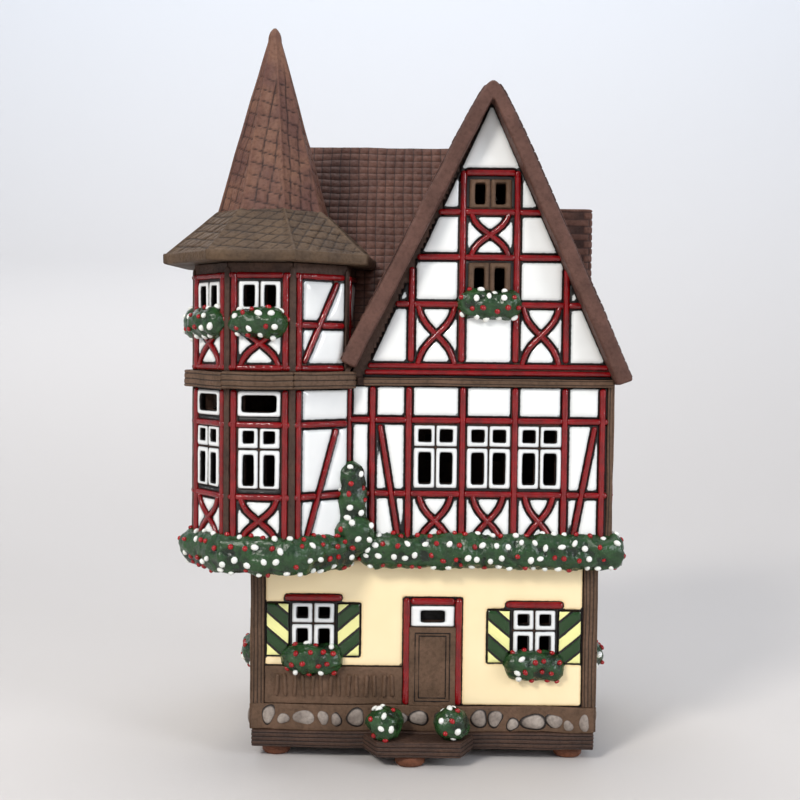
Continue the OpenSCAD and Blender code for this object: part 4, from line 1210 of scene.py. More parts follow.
@dataclass
class GroundStorey:
    """The cream glazed storey with its windows and shutters, and room in its glaze for the door and sign
    board.
    """

    windows_u: float = 39.6
    back_u: float = 43.0
    shutter_u: float = 12.7
    left_sill: float = SIZE.z_ground + 29.7
    right_sill: float = SIZE.z_ground + 27.9
    door: Area = (-7.3, 19.3, 13.7, 58.3)
    sign: Area = (-57.1, 19.3, -7.3, 33.2)

    def window(self, u: float, sill: float) -> Window:
        """A window of two rows."""
        return window(u, [(sill, sill + 7), (sill + 10.8, sill + 14.8)], 4.0, 3.8)

    def lintel(self, u: float, sill: float) -> Bar:
        """The red lintel over a window."""
        return straight(u - 10.3, sill + 18.1, u + 10.3, sill + 18.1, 2.4)

    def make(self) -> None:
        """Builds the glaze, windows and shutters of the four sides, leaving room for the front's door and
        sign board.
        """
        mid, off = SIZE.depth / 2, 0.27 * SIZE.depth
        wide, sill, low = self.windows_u, self.right_sill, self.left_sill
        sides = [
            (GROUND_FRONT, [(-wide, low), (wide, sill)], (-57.0, 57.0), True),
            (GROUND_RIGHT, [(mid - off, sill), (mid + off, sill)], (4.5, 81.5), True),
            (GROUND_LEFT, [(-mid - off, sill), (-mid + off, sill)], (-81.5, -4.5), True),
            (GROUND_BACK, [(-self.back_u, sill), (self.back_u, sill)], (-57.0, 57.0), False),
        ]
        glaze, frames, shutters = Shape(), Shape(), Shape()
        for face, spots, ends, shuttered in sides:
            windows = [self.window(u, sill) for u, sill in spots]
            lintels = [self.lintel(u, sill) for u, sill in spots]
            outline = oblong(ends[0], SIZE.z_band, ends[1], SIZE.z_upper - 0.1)
            wall = Wall(face, outline, list(lintels), windows, puff=0.5, cell=1.1)
            if shuttered:
                for u, sill in spots:
                    for side in (-1, 1):
                        middle = u + side * self.shutter_u
                        area = (middle - 4.2, sill - 3.0, middle + 4.2, sill + 16.3)
                        wall.blanks.append(area)
                        self.shutter(shutters, face, area, side)
            if face is GROUND_FRONT:
                wall.blanks += [self.door, self.sign]
            if face is GROUND_BACK:
                r, spring = SIZE.door_r, SIZE.door_spring
                wall.bars.append(Bar(self.arch(), 2.0))
                wall.blanks.append((-r, 0.0, r, spring))
                wall.bars.append(Bar(np.array([[0.0, spring], [0.1, spring]]), 2 * r))
            wall.glaze(glaze)
            wall.casements(frames, 0.9)
            for i, bar in enumerate(lintels):
                half_round(frames, face, bar, 1.1, 1, 31 * i)
        glaze.build("ground_cream_glaze", [CREAM_GLAZE], "cream_glaze")
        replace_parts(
            frames.build("ground_window_frames", [FRAME_GLAZE, RED_GLAZE], "window_glaze"),
            "ground_windows",
        )
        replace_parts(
            shutters.build("ground_striped_shutters", [SHUTTER_GLAZE, DARK_CLAY], "shutter_glaze"),
            "ground_shutters",
        )

    def arch(self) -> Array:
        """The outline of the tealight's doorway, from one foot over the round head to the other."""
        angle, r = np.linspace(math.pi, 0, 25), SIZE.door_r
        head = np.stack([r * np.cos(angle), SIZE.door_spring + r * np.sin(angle)], axis=1)
        return np.concatenate([[[-r, SIZE.z_band]], head, [[r, SIZE.z_band]]])

    def shutter(self, shape: Shape, face: Face, area: Area, side: int) -> None:
        """Adds a shutter: a thin slab with slanting fields of glaze inside its edge.

        The height is a hill between the stripes' lines, 0.45 (1 - exp(-d / 0.5)), over a slab. The
        lines are a pitch apart upwards, rise by the slope across, and start 0.35 of a pitch down.
        """
        nu, nv, pitch, slope = 20, 42, 5.6, 0.85
        u, v = np.meshgrid(np.linspace(area[0], area[2], nu), np.linspace(area[1], area[3], nv))
        across = (u - area[0]) if side > 0 else (area[2] - u)
        rim = -box_gap(area, u, v)
        run = (v - area[1] + slope * (-across)) / pitch + 0.35
        line = np.abs(run - np.round(run)) * pitch * 0.76
        d = np.minimum(np.maximum(rim - 0.5, 0), line)
        w = 0.75 + 0.45 * (1 - np.exp(-d / 0.5)) - 0.5 * (rim < 0.02)
        flat = np.stack([-across, v - area[1] + 0.35 * pitch + 2 * pitch], axis=-1)
        front = face.place(u, v, w)
        front = front + (0.1 * wander(front.reshape(-1, 3), 5.0, 2)).reshape(front.shape)
        keep = np.ones((nv - 1, nu - 1), bool)
        closed_sheet(shape, front, face.place(u, v, 0.0), keep, rim=rim, flat=flat)


@dataclass
class Turret:
    """The corner turret's walls: glaze, timbers and windows of both its storeys."""

    windows: tuple[int, ...] = (6, 7, 0)
    plain: tuple[int, ...] = (5, 1)

    def lower(self, k: int) -> Wall:
        """A face between the jetty and the ledge."""
        inner, foot, top = SIZE.face_half - 1.1, SIZE.z_walls, SIZE.z_ledge
        low, high = SIZE.z_upper + 24.1, SIZE.z_upper + 48.8
        left, right = -7.0 if k == 5 else -inner, SIZE.face_half + 0.6 if k == 1 else inner
        posts = [p for p in (-inner + 1.3, inner - 1.3) if p > left and not (k == 1 and p > 0)]
        bars = [straight(p, foot, p, top) for p in posts]
        reach = inner - 3.2
        breaks = list(posts)
        if k in self.windows:
            bars += crossed(0.8 - reach, foot + 4.6, reach - 0.8, low - 1.0)
        else:
            start = max(-reach, left + 1)
            bars.append(straight(start, foot, reach, high - 1.4, SIZE.brace))
            breaks.append(start + (reach - start) * (low - foot) / (high - foot))
        bars += rail(low, left, right, breaks) + rail(high, left, right, posts)
        frames = []
        if k in self.windows:
            base = SIZE.z_upper
            lights = [(base + 28, base + 38.5), (base + 42.5, base + 46.7)]
            frames.append(window(0, lights, 3.8, 3.4, 2.0, 1.2))
            fan_light = (-7.7, base + 51.3, 7.7, base + 60.5)
            frames.append(
                Window(fan_light, (Pane(fan_light, (-6.0, base + 53, 6.0, base + 58.8)),))
            )
        return Wall(turret_face(k), oblong(left, foot, right, top), bars, frames)

    def upper(self, k: int) -> Wall:
        """A face between the ledge and the eave."""
        inner, foot, top = SIZE.face_half - 1.1, SIZE.z_turret, SIZE.z_skirt - 3.0
        sill = SIZE.z_turret + 17.7 if k in self.windows else SIZE.z_turret + 16
        posts = [-inner + 1.3] if k == 1 else [-inner + 1.3, inner - 1.3]
        reach = inner - 3.2
        bars = [straight(p, foot, p, top) for p in posts]
        breaks = list(posts)
        if k in self.windows:
            bars += crossed(0.6 - reach, foot + 2.4, reach - 0.6, sill - 1.0)
        else:
            bars.append(straight(-reach, foot + 2.7, reach, top - 2.7, SIZE.brace))
            breaks.append(-reach + 2 * reach * (sill - foot - 2.7) / (top - foot - 5.4))
        bars += rail(foot + 1.3, -inner, inner, posts) + rail(top - 1.3, -inner, inner, posts)
        bars += rail(sill, -inner, inner, breaks)
        frames = []
        if k in self.windows:
            frames.append(window(0, [(SIZE.z_turret + 22, SIZE.z_turret + 29.2)], 3.8, 3.4, 2.0))
        return Wall(turret_face(k), oblong(-inner, foot, inner, top), bars, frames)

    def joints(self) -> None:
        """Builds the bare clay joints between the faces, both above and below the ledge."""
        joints = Shape()
        storeys = [(SIZE.z_walls, SIZE.z_ledge), (SIZE.z_turret, SIZE.z_skirt - 2.0)]
        for k in (5, 6, 7, 8, 9):
            for low, high in storeys[1:] if k == 9 else storeys:
                bead = straight(0, low - 0.6, 0, high + 0.6, 2.3)
                half_round(joints, turret_corner(k), bead, 0.5, 0, 13 * k)
        joints.build("turret_clay_joints", [DARK_CLAY], "bare_clay")

    def make(self) -> None:
        """Builds both storeys."""
        glaze, beads, frames = Shape(), Shape(), Shape()
        walls = [self.lower(k) for k in (*self.plain, *self.windows)]
        walls += [self.upper(k) for k in (*self.plain, *self.windows, 2)]
        for wall in walls:
            wall.glaze(glaze)
            wall.timbers(beads)
            wall.casements(frames)
        glaze.build("turret_glaze", [WHITE_GLAZE], "white_glaze")
        self.joints()
        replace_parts(beads.build("turret_beads", [RED_GLAZE], "red_glaze"), "turret_timbers")
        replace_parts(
            frames.build("turret_window_frames", [FRAME_GLAZE], "window_glaze"), "turret_windows"
        )


# ------------------------------------------------------------------ bare clay


def slab_lattice(counts: tuple[int, int, int]) -> tuple[Array, Array]:
    """Points and faces of a box's skin.

    Args:
        counts: Points along each edge.

    Returns:
        The whole number coordinates of each point, and the faces, which look outwards.
    """
    points, faces, start = [], [], 0
    for axis in range(3):
        a, b = (axis + 1) % 3, (axis + 2) % 3
        for end in (0, 1):
            i, j = np.meshgrid(np.arange(counts[a]), np.arange(counts[b]), indexing="ij")
            side = np.zeros((i.size, 3), np.int64)
            side[:, a], side[:, b], side[:, axis] = i.ravel(), j.ravel(), end * (counts[axis] - 1)
            quads = grid_quads(counts[a], counts[b]) + start
            faces.append(quads if not end else quads[:, ::-1])
            points.append(side)
            start += len(side)
    every = np.concatenate(points)
    unique, number = np.unique(every, axis=0, return_inverse=True)
    return unique, number.reshape(-1)[np.concatenate(faces)]


def groove_lines(at: Array, pitch: float, width: float) -> Array:
    """How deep in a groove a place is, from 0 to 1, for grooves every pitch: exp(-(gap / width)^2)."""
    gap = np.abs(at / pitch - np.round(at / pitch)) * pitch
    return np.exp(-((gap / width) ** 2))


@dataclass
class Slab:
    """A hand cut slab of clay with softened edges.

    A point p of the box is drawn to q, the nearest point of the box less the edge's radius, and
    moved back by the radius along p - q. The result is placed by the slab's own map, and noise
    moves it a little.
    """

    size: tuple[float, float, float]
    radius: float = 0.7
    step: float = 2.2
    sway: float = 0.22
    seed: int = 0
    pitch: float = 0.0
    groove_axis: int = 2
    groove_w: float = 0.3
    depth: float = 0.3

    def skin(self) -> tuple[Array, Array, Array]:
        """The box's points in millimetres, its faces and how deep each point is in a groove."""
        lines = []
        for length in self.size:
            r = min(self.radius, length / 2.2)
            middle = np.linspace(r, length - r, max(2, int((length - 2 * r) / self.step) + 1))
            edge = np.array([0, 0.4, 0.75]) * r
            lines.append(np.concatenate([edge, middle, length - edge[::-1]]))
        if self.pitch:
            length = self.size[self.groove_axis]
            fine = np.arange(0, length, self.groove_w / 1.6)
            lines[self.groove_axis] = np.unique(
                np.round(np.concatenate([lines[self.groove_axis], fine]), 4)
            )
        number, faces = slab_lattice(tuple(len(x) for x in lines))
        p = np.stack([lines[i][number[:, i]] for i in range(3)], axis=1)
        r = np.minimum(self.radius, np.array(self.size) / 2.2)
        q = np.clip(p, r, np.array(self.size) - r)
        away = (p - q) / np.maximum(r, 1e-9)
        away /= np.maximum(np.linalg.norm(away, axis=1), 1e-9)[:, None]
        dent = np.zeros(len(p))
        if self.pitch:
            wobble = 0.12 * noise(p, 9.0, self.seed + 9)
            dent = groove_lines(
                p[:, self.groove_axis] + wobble - self.pitch / 2, self.pitch, self.groove_w
            )
            dent *= 1 - np.abs(away[:, self.groove_axis])
        return q + away * (r - self.depth * dent[:, None]), faces, dent

    def add(self, shape: Shape, place: object, mark: int = 0) -> None:
        """Adds the slab.

        Args:
            shape: The mesh to add to.
            place: Either eight corners, x fastest and z slowest, or a function of the box's points.
            mark: Its finish.
        """
        p, faces, dent = self.skin()
        if callable(place):
            points = place(p)
        else:
            corners = np.array(place, float)
            f = p / np.array(self.size)
            weights = [np.stack([1 - f[:, i], f[:, i]], axis=1) for i in range(3)]
            points = sum(
                (
                    weights[0][:, n & 1] * weights[1][:, n >> 1 & 1] * weights[2][:, n >> 2]
                )[:, None] * corners[n]
                for n in range(8)
            )
        points = (
            points + self.sway * wander(points, 14.0, self.seed)
            + 0.3 * self.sway * wander(points, 4.0, self.seed)
        )
        shape.add(points, [faces], mark, dent=dent)


def upright(low: Sequence[float], high: Sequence[float]) -> Array:
    """The eight corners of a box along the axes."""
    return np.array([[(low, high)[n >> i & 1][i] for i in range(3)] for n in range(8)])


def on_face(face: Face, area: Area, low: float, high: float) -> Array:
    """The eight corners of a slab that lies on a face."""
    return np.array(
        [
            face.place(area[0::2][n & 1], area[1::2][n >> 1 & 1], (low, high)[n >> 2])
            for n in range(8)
        ]
    )


def box_slab(shape: Shape, corners: Array, mark: int = 0, **kind: float | int) -> None:
    """Adds a slab between eight corners, sized by its edges."""
    size = tuple(float(np.linalg.norm(corners[i] - corners[0])) for i in (1, 2, 4))
    Slab(size, **kind).add(shape, corners, mark)


@dataclass
class Base:
    """The plate, the step, the feet and what is bare on the walls: stones, sign, door and corners."""

    stones: tuple[Quad, ...] = (
        (-55.3, 15.6, 4.4, 6.4), (-50.0, 14.2, 4.2, 4.2), (-42.6, 14.7, 7.6, 6.0),
        (-35.7, 14.6, 4.0, 5.4), (-31.1, 13.9, 3.9, 4.3), (-23.9, 14.8, 6.6, 5.6),
        (-16.6, 14.3, 5.0, 5.0), (-8.4, 14.5, 5.4, 5.2), (-1.4, 14.9, 5.8, 5.6),
        (7.4, 14.5, 5.2, 5.0), (14.0, 14.2, 4.6, 5.2), (20.2, 14.9, 6.0, 5.6),
        (26.0, 15.0, 5.2, 5.6), (32.3, 12.9, 3.9, 4.4), (39.9, 13.8, 7.6, 5.8),
        (47.4, 14.2, 5.6, 5.2), (52.3, 12.6, 3.9, 4.0), (58.0, 13.6, 4.2, 6.2),
    )

    def plate(self) -> None:
        """Builds the base plate and the step, with plank lines round their edges."""
        plate = Shape()
        lines = {"pitch": 1.45, "groove_w": 0.2, "depth": 0.28}
        box_slab(plate, upright((-61.5, -2.0, 4.0), (61.5, 88.0, 10.0)), step=3.0, **lines)
        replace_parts(plate.build("base_plate_clay", [DARK_CLAY], "plate_clay"), "base_plate")
        step = Shape()
        corners = upright((-21.5, -12.0, 4.0), (18.5, -2.0, 9.5))
        corners[[0, 4], 0], corners[[1, 5], 0] = -16.25, 13.25
        box_slab(step, corners, step=2.0, **lines)
        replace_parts(step.build("front_step_clay", [DARK_CLAY], "plate_clay"), "front_step")

    def feet(self) -> None:
        """Builds the round feet: a radius and a height for each turn, closed at both poles."""
        feet = Shape()
        radius = np.array([3.2, 4.6, 5.2, 5.3, 5.1, 4.6, 3.6])
        height = np.array([0.0, 0.25, 1.0, 2.2, 3.4, 4.2, 4.4])
        angle = np.linspace(0, 2 * math.pi, 32, endpoint=False)
        for i, (x, y) in enumerate(((-53, 6), (53, 6), (-53, 80), (53, 80), (-4.5, -6))):
            ring = np.stack([np.cos(angle), np.sin(angle)], axis=1)
            points = np.zeros((len(radius), len(angle), 3))
            points[..., :2] = radius[:, None, None] * ring + np.array([x, y])
            points[..., 2] = height[:, None]
            flat = points.reshape(-1, 3)
            flat[:, :2] += 0.35 * wander(flat, 4.0, i)[:, :2]
            every = np.concatenate([flat, [[x, y, 0.0], [x, y, 4.4]]])
            feet.add(every, capped(*points.shape[:2]))
        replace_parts(feet.build("terracotta_feet", [FOOT_CLAY], "foot_clay"), "base_feet")

    def stone(self, shape: Shape, face: Face, spot: Quad, seed: int) -> None:
        """Adds a washed stone: an ellipse that swells by the root of 1 - r^2."""
        angle = np.linspace(0, 2 * math.pi, 22, endpoint=False)
        r = np.array([1.16, 1.0, 0.85, 0.6, 0.3])[:, None]
        bump = 1 + 0.12 * np.sin(2 * angle + seed) + 0.07 * np.sin(3 * angle + 2.1 * seed)
        u = spot[0] + spot[2] / 2 * r * bump * np.cos(angle)
        v = spot[1] + spot[3] / 2 * r * bump * np.sin(angle)
        w = np.broadcast_to(
            0.85 + 0.95 * np.sqrt(np.maximum(0, 1 - r**2)) - 0.05 * (r > 1.02), u.shape
        )
        points = np.concatenate(
            [face.place(u, v, w).reshape(-1, 3), face.place([spot[0]] * 2, spot[1], [1.82, 0.3])]
        )
        dent = np.append(np.repeat([1.0, 0.85, 0.1, 0, 0], len(angle)), [0, 0])
        shape.add(points, capped(*u.shape, first=1), 1, dent=dent)

    def band(self) -> None:
        """Builds the stone band: a rough brown slab round the foot of the walls, with stones in it."""
        band, draw = Shape(), np.random.default_rng(5)
        runs = [(GROUND_FRONT, -61.5, 61.5), (GROUND_RIGHT, 0.2, 85.8), (GROUND_LEFT, -85.8, -0.2)]
        runs += [(GROUND_BACK, -61.5, -SIZE.door_r), (GROUND_BACK, SIZE.door_r, 61.5)]
        for i, (face, a, b) in enumerate(runs):
            strip = on_face(face, (a, SIZE.z_ground, b, SIZE.z_band), -0.3, 1.0)
            box_slab(band, strip, step=1.4, sway=0.42, seed=i, radius=0.4)
            if face is GROUND_FRONT:
                spots = list(self.stones)
            else:
                count = int((b - a) / 7.0)
                u = np.linspace(a + 4, b - 4, count) + draw.uniform(-0.8, 0.8, count)
                wide, tall = draw.uniform(3.8, 7.2, count), draw.uniform(4.2, 6.2, count)
                spots = list(
                    zip(u, 14.4 + draw.uniform(-0.8, 0.8, count), np.minimum(wide, 6.4), tall)
                )
            for j, spot in enumerate(spots):
                self.stone(band, face, spot, 3 * i + j)
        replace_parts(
            band.build("stone_band_relief", [BROWN_CLAY, STONE_CLAY], "stone_clay"), "stone_band"
        )

    def front(self) -> None:
        """Builds the sign board with plain upright flutes, and the door with its red frame."""
        sign = Shape()
        board = on_face(GROUND_FRONT, (-56.9, 19.6, -7.6, 32.9), -0.3, 0.95)
        box_slab(sign, board, step=1.6, radius=0.4, sway=0.2)
        for i, u in enumerate(np.arange(-52.5, -10.5, 3.2)):
            flute = straight(u, 22.2, u + 0.4 * (-1) ** i, 30.6, 1.7)
            half_round(sign, GROUND_FRONT, flute, 1.95, 0, 5 * i)
        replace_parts(sign.build("sign_board_flutes", [BROWN_CLAY], "sign_clay"), "sign_board")
        door = Shape()
        leaf = on_face(GROUND_FRONT, (-5.2, 19.2, 11.6, 47.6), -0.3, 1.1)
        box_slab(door, leaf, step=1.5, radius=0.3, sway=0.1)
        for u0, v0, u1, v1 in ((-3.0, 21.0, 9.4, 45.6), (-1.6, 22.2, 8.0, 44.6)):
            line = np.array([[u0, v0], [u0, v1], [u1, v1], [u1, v0], [u0, v0]])
            for i in range(4):
                half_round(door, GROUND_FRONT, Bar(line[i : i + 2], 0.5), 1.36, 3, i)
        bars = [straight(-6.1, 19.4, -6.1, 58.1, 2.4), straight(12.5, 19.4, 12.5, 58.1, 2.4)]
        bars.append(straight(-4.8, 56.9, 11.2, 56.9, 2.4))
        for i, bar in enumerate(bars):
            half_round(door, GROUND_FRONT, bar, 1.4, 1, 3 * i)
        light = Pane((-4.9, 47.7, 11.3, 55.6), (-1.0, 49.4, 7.4, 53.7))
        casement(door, GROUND_FRONT, light, 1.1, 2)
        # Painted shade: a near black sheet behind the door's light stands for the dark inside of the house.
        shade_backing = on_face(GROUND_FRONT, (-1.4, 49.0, 7.8, 54.1), -4.0, -3.2)
        box_slab(door, shade_backing, 3, radius=0.1, sway=0.0)
        finishes = [BROWN_CLAY, RED_GLAZE, FRAME_GLAZE, PAINTED_SHADE_CLAY]
        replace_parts(door.build("front_door_leaf", finishes, "door_clay"), "front_door")

    def corners(self) -> None:
        """Builds the bare corner strips of both storeys, grained along their height."""
        strips = Shape()
        ground = [
            (GROUND_FRONT, 57.2, 61.5), (GROUND_FRONT, -61.5, -57.2), (GROUND_BACK, 57.2, 61.5)
        ]
        ground += [
            (GROUND_BACK, -61.5, -57.2), (GROUND_RIGHT, 0.2, 4.3), (GROUND_RIGHT, 81.7, 85.8)
        ]
        ground += [(GROUND_LEFT, -85.8, -81.7), (GROUND_LEFT, -4.3, -0.2)]
        upper = [(FRONT, 63.9, 65.5), (BACK, 63.9, 65.5), (BACK, -65.5, -63.9), (RIGHT, -4.0, -2.4)]
        upper += [(RIGHT, 88.4, 90.0), (LEFT, -90.0, -88.4)]
        edge = {"step": 4.4, "radius": 0.45, "sway": 0.25}
        lines = {"pitch": 1.3, "groove_axis": 0, "groove_w": 0.22, "depth": 0.2}
        storeys = (
            (ground, SIZE.z_band - 0.1, SIZE.z_upper, 0.8, 0),
            (upper, SIZE.z_walls, SIZE.z_eave, 0.7, 20),
        )
        for spots, low, high, out, seed in storeys:
            for i, (face, a, b) in enumerate(spots):
                strip = on_face(face, (a, low, b, high), -0.4, out)
                box_slab(strips, strip, seed=i + seed, **edge, **lines)
        strips.build("bare_corner_strips", [BROWN_CLAY], "bare_clay")

    def make(self) -> None:
        """Builds every part of the base."""
        for part in (self.plate, self.feet, self.band, self.front, self.corners):
            part()


@dataclass
class Ledges:
    """The plank like ledge round the turret and the eave beams."""

    out: float = 3.3
    inner: float = 2.0

    def make(self) -> None:
        """Builds the ledge's eight boards and the two beams."""
        ledge = Shape()
        layers = [
            (w, (SIZE.turret_a + w) * math.tan(HALF_CORNER) + 0.1) for w in (-self.inner, self.out)
        ]
        heights = (SIZE.z_ledge, SIZE.z_turret)
        lines = {"pitch": 1.9, "groove_axis": 1, "groove_w": 0.22, "depth": 0.25}
        for k in range(8):
            place = turret_face(k).place
            corners = [place(u, v, w) for w, half in layers for v in heights for u in (-half, half)]
            box_slab(ledge, np.array(corners), step=3.2, radius=0.6, sway=0.3, seed=k, **lines)
        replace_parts(ledge.build("turret_ledge_boards", [BROWN_CLAY], "bare_clay"), "turret_ledge")
        beams = Shape()
        lines = {"pitch": 1.5, "groove_axis": 1, "groove_w": 0.2, "depth": 0.18}
        for face, a, b in ((FRONT, -22.2, 65.5), (BACK, -65.5, 22.2)):
            corners = on_face(face, (a, SIZE.z_eave - SIZE.beam_h, b, SIZE.z_eave), -0.3, 2.0)
            box_slab(beams, corners, step=2.6, radius=0.5, sway=0.3, seed=4, **lines)
        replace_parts(beams.build("eave_beam_boards", [BROWN_CLAY], "bare_clay"), "eave_beams")


# ------------------------------------------------------------------ roofs


@dataclass
class TileField:
    """Incised square tiles on a sloping slab.

    Each tile is a small grid that is raised from a tenth to nine tenths of its size and drops to a
    groove at its edge. The lines between tiles wander by noise, as drawn by hand, and each tile
    tilts a little its own way.
    """

    ridge: tuple[float, float, float]
    along: tuple[float, float, float]
    down: tuple[float, float, float]
    length: float
    reach: float
    tile: tuple[float, float] = (3.5, 3.15)
    sag: tuple[float, float] = (0.0, 0.0)
    seed: int = 0

    def add(self, shape: Shape, visible: object) -> None:
        """Adds the tiles.

        Args:
            shape: The mesh to add to.
            visible: A function that says which places are to be seen.
        """
        along, down = np.array(self.along, float), np.array(self.down, float)
        up = np.cross(down, along)
        up *= np.sign(up[2])
        counts = [round(self.reach / self.tile[1]), round(self.length / self.tile[0])]
        share = np.array([0.0, 0.1, 0.5, 0.9])
        lines = [np.append((np.arange(n)[:, None] + share).ravel(), n) / n for n in counts]
        s, a = np.meshgrid(lines[0] * self.reach, lines[1] * self.length, indexing="ij")
        spot = np.array(self.ridge) + s[..., None] * down + a[..., None] * along
        if self.sag[1]:
            fall = self.sag[0] - spot[..., 2]
            spot[..., 2] -= np.hypot(fall, self.sag[1]) - fall
        flat = spot.reshape(-1, 3)
        drift = 0.42 * noise(flat, 11.0, self.seed) + 0.14 * noise(flat, 3.4, self.seed + 1)
        slip = 0.5 * noise(flat, 12.0, self.seed + 2) + 0.14 * noise(flat, 3.4, self.seed + 3)
        spot = (
            spot + drift.reshape(s.shape)[..., None] * down
            + slip.reshape(s.shape)[..., None] * along
        )
        edge = [np.append(np.tile([1.0, 0.15, 0, 0.15], n), 1.0) for n in counts]
        dent = np.maximum(edge[0][:, None], edge[1][None, :])
        cell = np.stack(
            [np.floor(s / self.tile[1] + 0.01), np.floor(a / self.tile[0] + 0.01), 0 * s], axis=-1
        )
        lift = 0.12 * noise(cell.reshape(-1, 3) * 5.3, 1.7, self.seed + 4).reshape(s.shape)
        height = (
            0.12 + (0.42 + lift) * (1 - dent)
            + 0.14 * noise(flat, 18.0, self.seed + 5).reshape(s.shape)
        )
        front = spot + height[..., None] * up
        middle = spot[2::4, 2::4][: counts[0], : counts[1]]
        turned = np.dot(np.cross(along, down), up) > 0
        back = spot - 0.4 * up
        keep = visible(middle)
        if not turned:
            closed_sheet(shape, front, back, keep, 4, dent=dent)
        else:
            closed_sheet(shape, front[:, ::-1], back[:, ::-1], keep[:, ::-1], 4, dent=dent[:, ::-1])


def in_turret(spot: Array, room: float) -> Array:
    """Whether places are nearer the turret's axis than its wall plus some room."""
    dx, dy = spot[..., 0] - SIZE.turret_x, spot[..., 1] - SIZE.turret_y
    outs = [turret_face(k).out for k in range(8)]
    return np.max([dx * out[0] + dy * out[1] for out in outs], axis=0) < SIZE.turret_a + room


def side_roof_top(y: Array) -> Array:
    """Height of the side roof's upper surface at a distance from the front."""
    slope = math.tan(math.radians(SIZE.side_pitch))
    lift = SIZE.roof_t / math.cos(math.radians(SIZE.side_pitch))
    return SIZE.z_eave + lift + (SIZE.side_half - np.abs(y - SIZE.mid_y)) * slope


def gable_roof_top(x: Array) -> Array:
    """Height of the gable roof's upper surface: top - sqrt((x tan(pitch))^2 + h^2) on each side.

    The root rounds the ridge, and h is what brings both sides down to the peak.
    """
    right = x > SIZE.gable_x
    slope = np.where(right, *np.tan(np.radians(SIZE.pitches[::-1])))
    top = np.where(right, *SIZE.outer_tops[::-1])
    return top - np.hypot((x - SIZE.gable_x) * slope, top - SIZE.peak)


